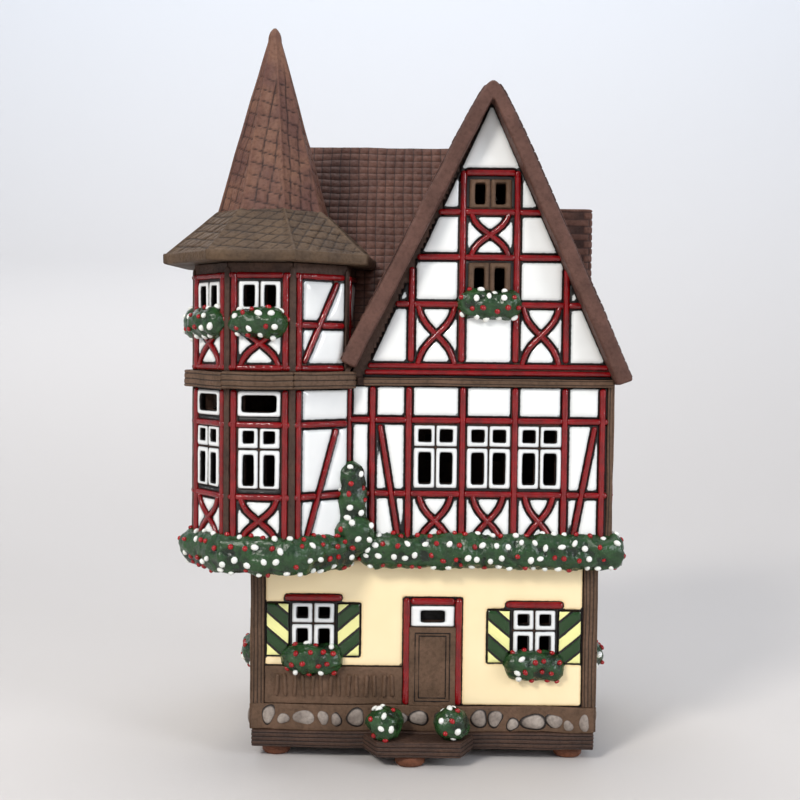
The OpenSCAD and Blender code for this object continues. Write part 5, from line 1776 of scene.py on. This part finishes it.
@dataclass
class Roofs:
    """The gable roof with its rounded ridge, the side roof, the chimney, the skirt and the spire."""

    def gable_slabs(self) -> None:
        """Builds the gable roof's two slabs as one slab folded over the ridge.

        A place on the flat slab is a share of the way from the inner line to the outer one. The
        inner line falls at each side's pitch from the ridge, and the outer one is gable_roof_top.
        """
        reach = [
            r + SIZE.slab_t * math.sin(math.radians(p)) for r, p in zip(SIZE.reaches, SIZE.pitches)
        ]
        run = [r / math.cos(math.radians(p)) for r, p in zip(reach, SIZE.pitches)]

        def place(p: Array) -> Array:
            """Folds the slab over the ridge."""
            s = p[:, 0] - run[0]
            side = (s > 0).astype(int)
            share = s / np.array(run)[side]
            inner = share * np.array(SIZE.reaches)[side]
            outer = share * np.array(reach)[side]
            low = SIZE.ridge - np.abs(inner) * np.tan(np.radians(SIZE.pitches))[side]
            high = gable_roof_top(SIZE.gable_x + outer)
            t = p[:, 2] / SIZE.slab_t
            x = SIZE.gable_x + inner + t * (outer - inner)
            return np.stack([x, SIZE.roof_front + p[:, 1], low + t * (high - low)], axis=1)

        roof = Shape()
        size = (run[0] + run[1], SIZE.roof_len, SIZE.slab_t)
        slab = Slab(size, radius=1.0, step=2.1, sway=0.42, seed=3)
        slab.add(roof, place)
        made = roof.build("gable_roof_slabs", [RAKE_CLAY], "roof_clay")
        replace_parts(made, "gable_roof_left", "gable_roof_right")

    def tiles(self) -> None:
        """Builds the tiles of the gable roof and of the side roof."""
        side = math.radians(SIZE.side_pitch)
        start = 5.0
        for name, sign in (("left", -1), ("right", 1)):
            number = (sign + 1) // 2
            pitch, top = math.radians(SIZE.pitches[number]), SIZE.outer_tops[number]
            shape = Shape()
            spot = (
                SIZE.gable_x + sign * start / math.tan(pitch), SIZE.roof_front + 1.0, top - start
            )
            down = (sign * math.cos(pitch), 0.0, -math.sin(pitch))
            reach = SIZE.reaches[number] + SIZE.slab_t * math.sin(pitch) - start / math.tan(pitch)
            length = reach / math.cos(pitch) - 0.8
            sag, seed = (top, top - SIZE.peak), 20 + sign
            field_ = TileField(
                spot, (0.0, 1.0, 0.0), down, SIZE.roof_len - 2.0, length, sag=sag, seed=seed
            )

            def seen(spot: Array, sign: int = sign) -> Array:
                """What the side roof, the turret and the chimney leave to be seen."""
                if sign > 0:
                    gap = np.abs(spot[..., :2] - SIZE.chimney[:2])
                    return ~np.all(gap < 5.5, axis=-1)
                over = spot[..., 2] > side_roof_top(spot[..., 1]) - 2.5
                front = (spot[..., 1] < -4.5) | (spot[..., 1] > 90.5)
                return (over | front) & ~in_turret(spot, 1.0)

            field_.add(shape, seen)
            shape.build(f"gable_tiles_{name}", [ROOF_CLAY], "roof_clay")
        slope = (SIZE.side_half + 1.5 + SIZE.roof_t * math.sin(side)) / math.cos(side) - 0.6
        peak = float(side_roof_top(np.array(SIZE.mid_y)))
        for name, sign in (("front", -1), ("back", 1)):
            shape = Shape()
            down = (0.0, sign * math.cos(side), -math.sin(side))
            start = (-68.2, SIZE.mid_y, peak)
            field_ = TileField(start, (1.0, 0.0, 0.0), down, 91.0, slope, seed=40 + sign)

            def seen_side(spot: Array) -> Array:
                """What the gable roof and the turret leave to be seen."""
                clear = spot[..., 2] > gable_roof_top(spot[..., 0]) - 3.5
                return clear & ~in_turret(spot, -2.0) & (spot[..., 0] < SIZE.gable_x)

            field_.add(shape, seen_side)
            shape.build(f"side_tiles_{name}", [ROOF_CLAY], "roof_clay")

    def chimney(self) -> None:
        """Builds the brick chimney: its walls, rim and flue as one closed skin.

        The section is a superellipse with a high power. Courses of bricks are grooves every 2.7 mm
        of height, and the upright joints are 4.2 mm apart and move by half from course to course.
        """
        cx, cy, top = SIZE.chimney
        rows, cols, course_h, brick = 118, 96, 2.7, 4.2
        angle = np.linspace(0, 2 * math.pi, cols + 1)[:-1]
        cos, sin = np.cos(angle), np.sin(angle)
        ring = np.stack(
            [np.sign(cos) * np.abs(cos) ** 0.22, np.sign(sin) * np.abs(sin) ** 0.22], axis=1
        )
        x0, y0 = cx + 8.0 * ring[:, 0], cy + 7.5 * ring[:, 1]
        foot = gable_roof_top(x0) - 3.0
        z = np.linspace(float(foot.min()), top, rows)[:, None] + 0 * x0
        share = np.linspace(0, 1, rows)[:, None]
        run = np.concatenate([[0], np.cumsum(np.hypot(np.diff(x0), np.diff(y0)))])
        course = np.floor(z / course_h)
        level = groove_lines(z + 0.2 * np.sin(run / 6), course_h, 0.3)
        along = run + brick / 2 * (course % 2) + 0.5 * np.sin(3.1 * course)
        joint = groove_lines(along, brick, 0.3)
        dent = np.maximum(level, joint) * (share < 0.99)
        shrink = 1 - dent * 0.045 - 0.02 * (share > 0.995)
        outer = np.stack([cx + (x0 - cx) * shrink, cy + (y0 - cy) * shrink, z], axis=-1)
        rings = [outer.reshape(-1, 3) + 0.16 * wander(outer.reshape(-1, 3), 6.0, 4)]
        flue = top - 22.0
        rim = ((0.9, top + 0.25), (0.62, top + 0.2), (0.56, top - 0.4), (0.55, flue))
        for scale, height in rim:
            x, y = cx + (x0 - cx) * scale, cy + (y0 - cy) * scale
            rings.append(np.stack([x, y, np.full(cols, height)], axis=1))
        points = np.concatenate([*rings, [[cx, cy, flue], [cx, cy, float(foot.min())]]])
        chimney = Shape()
        depth = np.concatenate([dent.ravel(), np.zeros(2 * cols), np.ones(2 * cols), [1, 0]])
        chimney.add(points, capped(rows + len(rim), cols, first=1), dent=depth)
        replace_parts(chimney.build("brick_chimney", [ROOF_CLAY], "roof_clay"), "chimney")

    def cone(
        self, radius: Array, height: Array, per_face: int, skew: Quad, rough: Array
    ) -> tuple[Array, Array]:
        """Points of an eight sided surface with skewed tiles and raised hips.

        Args:
            radius: Distance of the corners from the axis, for each row.
            height: Height of each row.
            per_face: Columns on each face.
            skew: Pitch and lean of the rows of tiles, and pitch and lean of their columns.
            rough: How strongly each row is tiled, from 0 to 1.

        Returns:
            The points, by row and column, and how deep each lies in a groove.
        """
        k = np.repeat(np.arange(8), per_face)
        t = np.tile(np.arange(per_face) / per_face, 8)
        turn = [np.radians(22.5 - SIZE.turret_turn + 45.0 * (k + i)) for i in (0, 1)]
        ends = [np.stack([np.cos(a), np.sin(a)], axis=1) for a in turn]
        ring = (1 - t)[:, None] * ends[0] + t[:, None] * ends[1]
        x = SIZE.roof_x + radius[:, None] * ring[:, 0]
        y = SIZE.turret_y + radius[:, None] * ring[:, 1]
        points = np.stack([x, y, np.broadcast_to(height[:, None], x.shape)], axis=-1)
        flat = points.reshape(-1, 3)
        width = 2 * radius[:, None] * math.sin(HALF_CORNER)
        p = t * width
        leg = np.concatenate([[0], np.cumsum(np.hypot(np.diff(radius) * 0.92, np.diff(height)))])
        q = np.broadcast_to(leg[:, None], p.shape)
        hand = [0.55 * noise(flat, 6.0, s).reshape(p.shape) for s in (61, 62)]
        row_h, row_lean, col_w, col_lean = skew
        row = q + row_lean * p + hand[0] + 1.7 * k
        col = p + col_lean * q + hand[1] + 0.9 * k
        hip = np.minimum(t, 1 - t) * width
        tiled = rough[:, None] * np.clip(hip / 0.8, 0, 1)
        dent = np.maximum(groove_lines(row, row_h, 0.3), groove_lines(col, col_w, 0.3)) * tiled
        side = np.broadcast_to(k * 3.0, p.shape)
        cell = np.stack([np.floor(row / row_h), np.floor(col / col_w), side], axis=-1)
        lift = 0.16 * noise(cell.reshape(-1, 3) * 5.3, 1.7, 7).reshape(p.shape) * tiled
        crown = 0.5 * np.exp(-((hip / 0.75) ** 2)) * np.clip(radius[:, None] / 8, 0.15, 1)
        move = crown + lift - 0.42 * dent + 0.16 * noise(flat, 9.0, 63).reshape(p.shape)
        level = ring / np.linalg.norm(ring, axis=1)[:, None]
        away = np.concatenate([level, np.full((len(ring), 1), 0.35)], axis=1)
        return points + move[..., None] * away, dent

    def spire(self) -> None:
        """Builds the spire: eight tiled faces that meet in a rounded tip."""
        foot, neck, top = SIZE.z_spire - 0.6, 257.0, 260.95
        tip_z, tip_r = np.array([neck, 258.2, 259.3, 260.2, 260.75]), [2.25, 2.05, 1.65, 1.05, 0.5]
        z = np.concatenate([np.linspace(foot, neck, 112), tip_z[1:]])
        straight_r = 19.6 + (z - SIZE.z_spire) * (1.2 - 19.6) / (259.8 - SIZE.z_spire)
        r = np.where(z > neck, np.interp(z, tip_z, tip_r), straight_r)
        r = np.maximum(r, np.where((z > 252) & (z <= neck), 2.35 - 0.02 * (z - 252), 0))
        rough = np.clip((250.0 - z) / 10.0, 0.0, 1.0)
        points, dent = self.cone(r, z, 20, (4.5, 0.28, 4.3, 0.0), rough)
        ends = [[SIZE.roof_x, SIZE.turret_y, height] for height in (top, foot)]
        every = np.concatenate([points.reshape(-1, 3), ends])
        spire = Shape()
        spire.add(every, capped(*dent.shape, first=1), dent=np.append(dent.ravel(), [0, 0]))
        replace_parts(spire.build("tiled_spire", [SPIRE_CLAY], "roof_clay"), "turret_spire")

    def skirt(self) -> None:
        """Builds the skirt roof: an upright eave, eight tiled faces, and its own hollow underside."""
        low, eave, top, rows = SIZE.z_skirt, SIZE.z_skirt + 3.7, SIZE.z_spire, 46
        edge_r = [24.5, 37.5, 38.3, 38.6, 38.7, 38.5]
        edge_z = [low + 0.4, low, low + 0.1, low + 0.5, eave - 0.7, eave - 0.1]
        r = np.concatenate([edge_r, np.linspace(37.7, 20.1, rows), [19.4, 16.0]])
        z = np.concatenate([edge_z, np.linspace(eave, top, rows), [top + 0.3, top - 2.0]])
        rough = np.concatenate([np.zeros(6), np.clip(np.arange(rows) / 2.0, 0, 1), [0, 0]])
        points, dent = self.cone(r, z, 40, (4.0, 0.12, 4.8, -0.62), rough)
        quads = grid_quads(*dent.shape, ring_rows=True, ring_cols=True)
        skirt = Shape()
        skirt.add(points.reshape(-1, 3), [quads], dent=dent.ravel())
        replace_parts(skirt.build("tiled_skirt_roof", [SKIRT_CLAY], "roof_clay"), "turret_skirt_roof")

    def make(self) -> None:
        """Builds every part of the roofs."""
        for part in (self.gable_slabs, self.tiles, self.chimney, self.spire, self.skirt):
            part()


# ------------------------------------------------------------------ flowers


def mitred(corners: Array, outs: Array, ease: float = 3.0) -> tuple[Array, Array]:
    """Follows a line round its corners, with the way out turned half way at each corner.

    Args:
        corners: The line's corners in plan, at one height.
        outs: The way out of each stretch between two corners.
        ease: How far from a corner the way out begins to turn.

    Returns:
        The line's points and the way out at each of them.
    """
    points, ways = [corners[0]], [outs[0]]
    for i in range(1, len(corners) - 1):
        ahead = corners[i + 1] - corners[i]
        behind = corners[i - 1] - corners[i]
        turn = outs[i - 1] + outs[i]
        length = np.linalg.norm(turn)
        points += [corners[i] + behind / np.linalg.norm(behind) * ease, corners[i]]
        points.append(corners[i] + ahead / np.linalg.norm(ahead) * ease)
        ways += [outs[i - 1], turn / length * math.sqrt(2 / length), outs[i]]
    return np.array([*points, corners[-1]]), np.array([*ways, outs[-1]])


@dataclass
class Drops:
    """Glaze drops, white and red, set on the flowers as small domes."""

    white: Shape = field(default_factory=Shape)
    red: Shape = field(default_factory=Shape)

    def scatter(self, spots: Array, normals: Array, red: Array, seed: int) -> None:
        """Sets a dome on each spot: radius r and height sqrt(1 - r^2), stretched and turned.

        Args:
            spots: The middles of the drops.
            normals: The way out at each.
            red: Which of them are red.
            seed: Which sizes and turns.
        """
        draw = np.random.default_rng(seed)
        count = len(spots)
        ring_r = np.array([0.85, 1.0, 0.82, 0.45])
        ring_h = np.array([-0.5, 0.05, 0.62, 0.93])
        angle = np.linspace(0, 2 * math.pi, 9)[:8]
        unit = np.stack([np.outer(ring_r, np.cos(angle)), np.outer(ring_r, np.sin(angle))], axis=-1)
        level = np.repeat(ring_h[:, None], 8, axis=1)
        flat = np.concatenate([unit.reshape(-1, 2), [[0, 0], [0, 0]]])
        high = np.concatenate([level.ravel(), [1.0, -0.5]])
        faces = [
            grid_quads(4, 8, ring_cols=True),
            fan(np.arange(8) + 24, 32, True),
            fan(np.arange(8), 33, False),
        ]
        turn = draw.uniform(0, math.pi, count)
        long = np.where(red, 1.05, 1.35) * draw.uniform(0.85, 1.15, count)
        wide = np.where(red, 0.95, 1.08) * draw.uniform(0.85, 1.12, count)
        rise = 0.85 * draw.uniform(0.85, 1.2, count)
        side = np.cross(normals, np.array([0.31, 0.22, 0.93]))
        side /= np.linalg.norm(side, axis=1)[:, None]
        other = np.cross(normals, side)
        first = side * np.cos(turn)[:, None] + other * np.sin(turn)[:, None]
        second = np.cross(normals, first)
        points = spots[:, None] + (flat[None, :, :1] * long[:, None, None]) * first[:, None]
        points = points + (flat[None, :, 1:] * wide[:, None, None]) * second[:, None]
        points = points + (high[None, :, None] * rise[:, None, None]) * normals[:, None]
        for shape, chosen in ((self.white, ~red), (self.red, red)):
            some = points[chosen]
            start = (np.arange(len(some)) * 34)[:, None, None]
            shape.add(
                some.reshape(-1, 3), [(f[None] + start).reshape(-1, f.shape[1]) for f in faces]
            )

    def make(self) -> None:
        """Builds both kinds of drops."""
        self.white.build("white_glaze_drops", [WHITE_DROPS], "white_glaze")
        self.red.build("red_glaze_drops", [RED_DROPS], "red_glaze")


@dataclass
class Posy:
    """A run of leaves in scratched clay, with drops of glaze on it.

    The run follows a line. Its section is an ellipse, reach cos(q) out and tall sin(q) across,
    flattened where it meets the wall. At the ends both radii shrink as a quarter circle does, and
    four noises push the surface in and out.
    """

    line: Array
    out: Array
    reach: float
    tall: float
    behind: float = 1.0
    red_share: float = 0.5
    spread: tuple[float, float] = (-62.0, 72.0)
    seed: int = 0
    cell: float = 0.66

    def surface(self, s: Array, q: Array) -> tuple[Array, Array, Array]:
        """Points of the run.

        Args:
            s: Distance along the line, beyond its ends in the round ends.
            q: Angle round the line, 0 straight out.

        Returns:
            The points, the way out at each and how deep it lies in a crease.
        """
        step = np.diff(self.line, axis=0)
        leg = np.concatenate([[0], np.cumsum(np.linalg.norm(step, axis=1))])
        on = np.clip(s, 0, leg[-1])
        part = np.clip(np.searchsorted(leg, on, side="right") - 1, 0, len(step) - 1)
        tangent = (step / np.linalg.norm(step, axis=1)[:, None])[part]
        base = np.stack([np.interp(on, leg, self.line[:, i]) for i in range(3)], axis=-1)
        out = np.stack([np.interp(on, leg, self.out[:, i]) for i in range(3)], axis=-1)
        end = min(self.reach, self.tall)
        over = s - on
        shrink = np.sqrt(np.maximum(0, 1 - (over / end) ** 2))
        side = np.cross(out, tangent)
        side /= np.linalg.norm(side, axis=-1)[..., None]
        cos, sin = np.cos(q), np.sin(q)
        forward = np.where(cos > 0, cos * self.reach, cos * self.behind)
        points = base + over[..., None] * tangent
        points = (
            points
            + shrink[..., None] * (forward[..., None] * out + (sin * self.tall)[..., None] * side)
        )
        way = (
            shrink[..., None] * (cos[..., None] * out + sin[..., None] * side)
            + (over / end)[..., None] * tangent
        )
        way /= np.maximum(np.linalg.norm(way, axis=-1), 1e-6)[..., None]
        flat = points.reshape(-1, 3)
        coarse = noise(flat, 2.9, self.seed).reshape(s.shape)
        fine = noise(flat, 1.25, self.seed + 3).reshape(s.shape)
        ridged = 1 - 2.4 * np.abs(noise(flat, 2.1, self.seed + 8).reshape(s.shape))
        lump = noise(flat, 5.2, self.seed + 12).reshape(s.shape)
        push = 0.95 * lump + 0.5 * coarse + 0.2 * fine + 0.36 * ridged - 0.15
        full = self.behind > 2
        share = 1.0 if full else np.clip((cos + 0.15) * 2.5, 0, 1)
        push = push * share
        return points + push[..., None] * way, way, np.clip(-1.6 * push, 0, 1)

    def add(self, shape: Shape, drops: Drops) -> None:
        """Adds the run and its drops."""
        end = min(self.reach, self.tall)
        length = float(np.linalg.norm(np.diff(self.line, axis=0), axis=1).sum())
        cap = -end * np.cos(np.linspace(0.12, math.pi / 2, max(6, int(end / self.cell))))
        body = np.linspace(0, length, max(2, int(length / self.cell) + 1))
        s = np.concatenate([cap[:-1], body, length - cap[::-1][1:]])
        half = np.linspace(
            -math.pi / 2, math.pi / 2, int(math.pi * (self.reach + self.tall) / 2 / self.cell)
        )
        count = 26 if self.behind > 2 else 5
        back = np.linspace(math.pi / 2, 1.5 * math.pi, count)[1:-1]
        q = np.concatenate([half, back])
        grid_s, grid_q = np.meshgrid(s, q, indexing="ij")
        points, _, dent = self.surface(grid_s, grid_q)
        tips, _, _ = self.surface(np.array([-end, length + end]), np.zeros(2))
        every = np.concatenate([points.reshape(-1, 3), tips])
        shape.add(every, capped(*dent.shape, turned=True), dent=np.append(dent.ravel(), [0, 0]))
        self.dress(drops, length, end)

    def dress(self, drops: Drops, length: float, end: float) -> None:
        """Sets the drops in loose rows, each row moved by half a step."""
        draw = np.random.default_rng(100 + self.seed)
        low, high = np.radians(self.spread)
        arc = (high - low) * (self.reach + self.tall) / 2
        rows = max(3, round(arc / 3.6))
        along = np.arange(-end * 0.7, length + end * 0.7, 4.4)
        spots_s, spots_q = [], []
        for i, q in enumerate(np.linspace(low, high, rows)):
            spots_s.append(along + 2.2 * (i % 2) + draw.uniform(-1.1, 1.1, len(along)))
            spots_q.append(q + draw.uniform(-0.16, 0.16, len(along)))
        s, q = np.concatenate(spots_s), np.concatenate(spots_q)
        inside = (s > -end * 0.8) & (s < length + end * 0.8)
        spots, ways, _ = self.surface(s[inside], q[inside])
        drops.scatter(spots, ways, draw.random(len(spots)) < self.red_share, self.seed)


def lying(face: Face, u: float, v: float, length: float, radius: float) -> tuple[Array, Array]:
    """The line and the way out of a run that lies on a face, in a length with its round ends."""
    half = length / 2 - radius
    line = np.stack([face.place(u - half, v), face.place(u + half, v)])
    return line, np.stack([face.out, face.out])


@dataclass
class Flowers:
    """The garland, the climbing flowers, the flower boxes and the bushes."""

    garland_r: float = 6.2
    turret_t: float = 5.0
    box_r: float = 5.4
    box_len: float = 22.0
    bush_r: float = 6.6

    def garland(self, drops: Drops) -> None:
        """Builds the garland along the walls and round the turret."""
        garland, z = Shape(), SIZE.z_walls
        x, front, back = SIZE.upper_x, SIZE.front_y, SIZE.back_y
        plan = np.array(
            [[-19.5, front, z], [x, front, z], [x, back, z], [-x, back, z], [-x, 46.0, z]], float
        )
        outs = np.array([[0, -1, 0], [1, 0, 0], [0, 1, 0], [-1, 0, 0]], float)
        line, out = mitred(plan, outs, 4.0)
        Posy(line, out, self.garland_r - 1.3, self.garland_r, seed=3).add(garland, drops)
        faces = [turret_face(k) for k in (5, 6, 7, 8, 9, 10)]
        middle = z + 0.2
        corners = [faces[0].place(-8.0, middle)]
        corners += [turret_corner(k).place(0.0, middle) for k in (5, 6, 7, 8, 9)]
        corners.append(faces[-1].place(-6.0, middle))
        line, out = mitred(np.array(corners), np.array([f.out for f in faces]), 3.0)
        Posy(line, out, self.turret_t - 0.6, 6.5, seed=11).add(garland, drops)
        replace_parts(garland.build("flower_garland", [LEAF_GLAZE], "leaf_glaze"), "garland")
        climber = Shape()
        line = np.array([[-25.9, -6.2, 80.0], [-26.2, -6.4, 90.0], [-25.9, -6.6, 102.6]])
        out = np.repeat([[-0.1, -1.0, 0.0]], 3, axis=0)
        Posy(line, out, 4.6, 5.2, behind=4.0, seed=17, red_share=0.5).add(climber, drops)
        foot = np.array([[-25.9, -6.2, 79.0], [-26.1, -6.3, 83.0]])
        Posy(foot, out[:2], 5.4, 7.6, behind=4.0, seed=19).add(climber, drops)
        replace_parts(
            climber.build("climbing_flower_mound", [LEAF_GLAZE], "leaf_glaze"), "climbing_flowers"
        )

    def boxes(self, drops: Drops) -> None:
        """Builds the flower boxes of the windows."""
        ground, quarter, middle = Shape(), 0.27 * SIZE.depth, SIZE.depth / 2
        low, r = SIZE.z_ground + 24.4, self.box_r
        runs = [(GROUND_FRONT, -39.6, low + 1.8, 0.5), (GROUND_FRONT, 39.6, low, 0.72)]
        runs += [
            (GROUND_RIGHT, middle - quarter, low, 0.5), (GROUND_RIGHT, middle + quarter, low, 0.5)
        ]
        runs += [
            (GROUND_LEFT, -middle - quarter, low, 0.5), (GROUND_LEFT, -middle + quarter, low, 0.5)
        ]
        for i, (face, u, v, red) in enumerate(runs):
            line, out = lying(face, u, v, self.box_len, r)
            Posy(line, out, r, r, red_share=red, seed=23 + 4 * i).add(ground, drops)
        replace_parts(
            ground.build("ground_flower_mounds", [LEAF_GLAZE], "leaf_glaze"), "ground_flower_boxes"
        )
        gable = Shape()
        line, out = lying(FRONT, SIZE.gable_x, SIZE.z_eave + 25.9, self.box_len, r)
        Posy(line, out, r, r, seed=61).add(gable, drops)
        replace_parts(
            gable.build("gable_flower_mound", [LEAF_GLAZE], "leaf_glaze"), "gable_flower_box"
        )
        turret = Shape()
        for k in (6, 7, 8):
            line, out = lying(
                turret_face(k), 0.0, SIZE.z_turret + 16.6, 2 * SIZE.face_half - 2.6, r
            )
            Posy(line, out, r, r, seed=65 + 4 * k).add(turret, drops)
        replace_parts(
            turret.build("turret_flower_mounds", [LEAF_GLAZE], "leaf_glaze"), "turret_flower_boxes"
        )

    def bushes(self, drops: Drops) -> None:
        """Builds the two round bushes on the step."""
        bushes, r = Shape(), self.bush_r - 0.6
        for i, x in enumerate((-13.5, 10.5)):
            line = np.array([[x - 0.1, -7.0, 15.1], [x + 0.1, -7.0, 15.1]])
            out = np.array([[0.0, -1.0, 0.0]] * 2)
            Posy(
                line, out, r, r, behind=r, spread=(-50.0, 110.0), seed=81 + 4 * i
            ).add(bushes, drops)
        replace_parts(bushes.build("step_bush_balls", [LEAF_GLAZE], "leaf_glaze"), "step_bushes")

    def make(self) -> None:
        """Builds all the flowers and their drops."""
        drops = Drops()
        self.garland(drops)
        self.boxes(drops)
        self.bushes(drops)
        drops.make()


# ------------------------------------------------------------------ the slabs that stay


def dress_slabs() -> None:
    """Rounds the edges of the slabs that stay from the frame, and gives each its clay."""
    for name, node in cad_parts.items():
        if node.hide_render:
            continue
        finish = BROWN_CLAY if name in ("jetty_slab", "turret_floor") else DARK_CLAY
        for holder in node.material_slots:
            holder.material = finish
        node.modifiers.new("weld", "WELD").merge_threshold = 0.01 * MM
        bevel = node.modifiers.new("softened edges", "BEVEL")
        bevel.width, bevel.segments, bevel.limit_method = 0.35 * MM, 2, "ANGLE"
        bevel.angle_limit = math.radians(40)
        LOG.info("%s: kept, with softened edges", name)


# ------------------------------------------------------------------ stage


@dataclass(frozen=True)
class Lamp:
    """A soft box: where it hangs in millimetres, its size, power and colour."""

    name: str
    spot: tuple[float, float, float]
    size: float
    watts: float
    colour: str

    def make(self, target: Vector) -> None:
        """Hangs the lamp and turns it to the target."""
        light = bpy.data.lights.new(self.name, "AREA")
        light.size, light.energy = self.size * MM, self.watts
        light.color = linear(self.colour)[:3]
        lamp = bpy.data.objects.new(self.name, light)
        lamp.location = Vector(self.spot) * MM
        lamp.rotation_euler = (target - lamp.location).to_track_quat("-Z", "Y").to_euler()
        bpy.context.scene.collection.objects.link(lamp)


@dataclass
class Studio:
    """The floor with its backdrop, the lamps, the pale world and the camera."""

    floor_r: float = 450.0
    bend: float = 1900.0
    wall: float = 3000.0
    eye: tuple[float, float, float] = (-9.4, -420.0, 146.7)
    lens: float = 53.2
    tilt: float = 2.42
    roll: float = 0.65
    floor: str = "#cbc7c4"
    sky: str = "#e6e9ee"

    def backdrop(self) -> None:
        """Builds the floor, which curves up into a round wall: a profile turned about the middle."""
        bend = np.linspace(0, math.pi / 2, 24)
        curve = self.floor_r + self.bend * np.sin(bend)
        r = np.concatenate([[60, 200, 320, 400], curve, [self.floor_r + self.bend]])
        z = np.concatenate([[0, 0, 0, 0], self.bend * (1 - np.cos(bend)), [self.wall]])
        sides = 96
        angle = np.linspace(0, 2 * math.pi, sides, endpoint=False)
        level = [np.outer(r, np.cos(angle)), np.outer(r, np.sin(angle))]
        points = np.stack([*level, np.repeat(z[:, None], sides, axis=1)], axis=-1)
        every = np.concatenate([points.reshape(-1, 3), [[0.0, 0.0, 0.0]]]) * MM
        faces = grid_quads(len(r), sides, ring_cols=True)[:, ::-1].tolist()
        faces += fan(np.arange(sides), len(r) * sides, True).tolist()
        mesh = bpy.data.meshes.new("pale_floor")
        mesh.from_pydata(every.tolist(), [], faces)
        mesh.polygons.foreach_set("use_smooth", np.ones(len(faces), bool))
        paper = Recipe("pale backdrop paper")
        height = paper.node("SeparateXYZ", {0: paper.node("TexCoord", {}, 3)}, 2)
        # Painted light: the paper pales from the floor tone to the wall tone up to 0.9 m, for more light on
        # the wall than on the floor.
        climb = paper.node("MapRange", {0: height, 1: 0.0, 2: 0.9})
        colour = paper.node(
            "Mix", {0: climb, 6: linear(self.floor), 7: linear(self.sky)}, 2, data_type="RGBA"
        )
        fibres = paper.grain(2.0, 2, 0, 1)
        mesh.materials.append(paper.close({"Base Color": colour, "Roughness": 0.75}, fibres, 0.05))
        floor = bpy.data.objects.new("pale_floor", mesh)
        bpy.context.scene.collection.objects.link(floor)
        floor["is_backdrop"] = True

    def make(self) -> None:
        """Builds the stage."""
        self.backdrop()
        target, wall = Vector((0.0, 0.0, 130.0)) * MM, Vector((0.0, 2400.0, 900.0)) * MM
        for lamp in (
            Lamp("key_softbox", (-620.0, -900.0, 900.0), 280.0, 11.0, "#fffaf4"),
            Lamp("side_softbox", (950.0, -650.0, 480.0), 400.0, 5.5, "#f4f8ff"),
            Lamp("top_softbox", (0.0, 150.0, 1300.0), 800.0, 6.0, "#ffffff"),
            Lamp("rear_softbox", (-500.0, 1000.0, 800.0), 700.0, 1.6, "#ffffff"),
            Lamp("wall_wash", (0.0, 900.0, 1500.0), 1200.0, 11.0, "#ffffff"),
        ):
            lamp.make(wall if lamp.name == "wall_wash" else target)
        world = bpy.data.worlds.new("pale studio")
        world.use_nodes = True
        sky = world.node_tree.nodes["Background"]
        sky.inputs["Color"].default_value = linear("#eef3fb")
        sky.inputs["Strength"].default_value = 0.55
        bpy.context.scene.world = world
        bpy.context.scene.view_settings.view_transform = "Standard"
        lens = bpy.data.cameras.new("camera")
        lens.lens, lens.sensor_width = self.lens, 36.0
        lens.clip_start, lens.clip_end = 0.01, 20.0
        camera = bpy.data.objects.new("camera", lens)
        camera.location = Vector((np.array(self.eye) + SHIFT) * MM)
        level = Euler((math.radians(90 - self.tilt), 0, 0)).to_matrix()
        camera.rotation_euler = (
            level @ Euler((0, 0, math.radians(self.roll))).to_matrix()
        ).to_euler()
        bpy.context.scene.collection.objects.link(camera)
        bpy.context.scene.camera = camera


def gables() -> None:
    """Builds the three gables and their casements."""
    frames = Shape()
    for gable in (
        Gable("front_gable", FRONT, SIZE.gable_x, SIZE.gable_half, SIZE.gable_pitch),
        Gable("back_gable", BACK, -SIZE.gable_x, SIZE.gable_half, SIZE.gable_pitch),
        Gable(
            "left_gable", LEFT, -SIZE.mid_y, SIZE.side_half, SIZE.side_pitch, SIZE.side_share, False
        ),
    ):
        gable.make(frames)
    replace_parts(frames.build("gable_clay_casements", [BROWN_CLAY], "bare_clay"), "gable_windows")


def main() -> None:
    """Builds the house and its stage."""
    logging.basicConfig(level=logging.INFO, format="%(name)s: %(message)s")
    Base().make()
    GroundStorey().make()
    UpperStorey().make()
    gables()
    Turret().make()
    Ledges().make()
    Roofs().make()
    Flowers().make()
    dress_slabs()
    Studio().make()


if __name__ == "__main__":
    main()
    bpy.context.view_layer.update()
    sizes = {"cad": CAD_BOX, "visual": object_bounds()}
    {k: [list(corner) for corner in v] for k, v in sizes.items()}
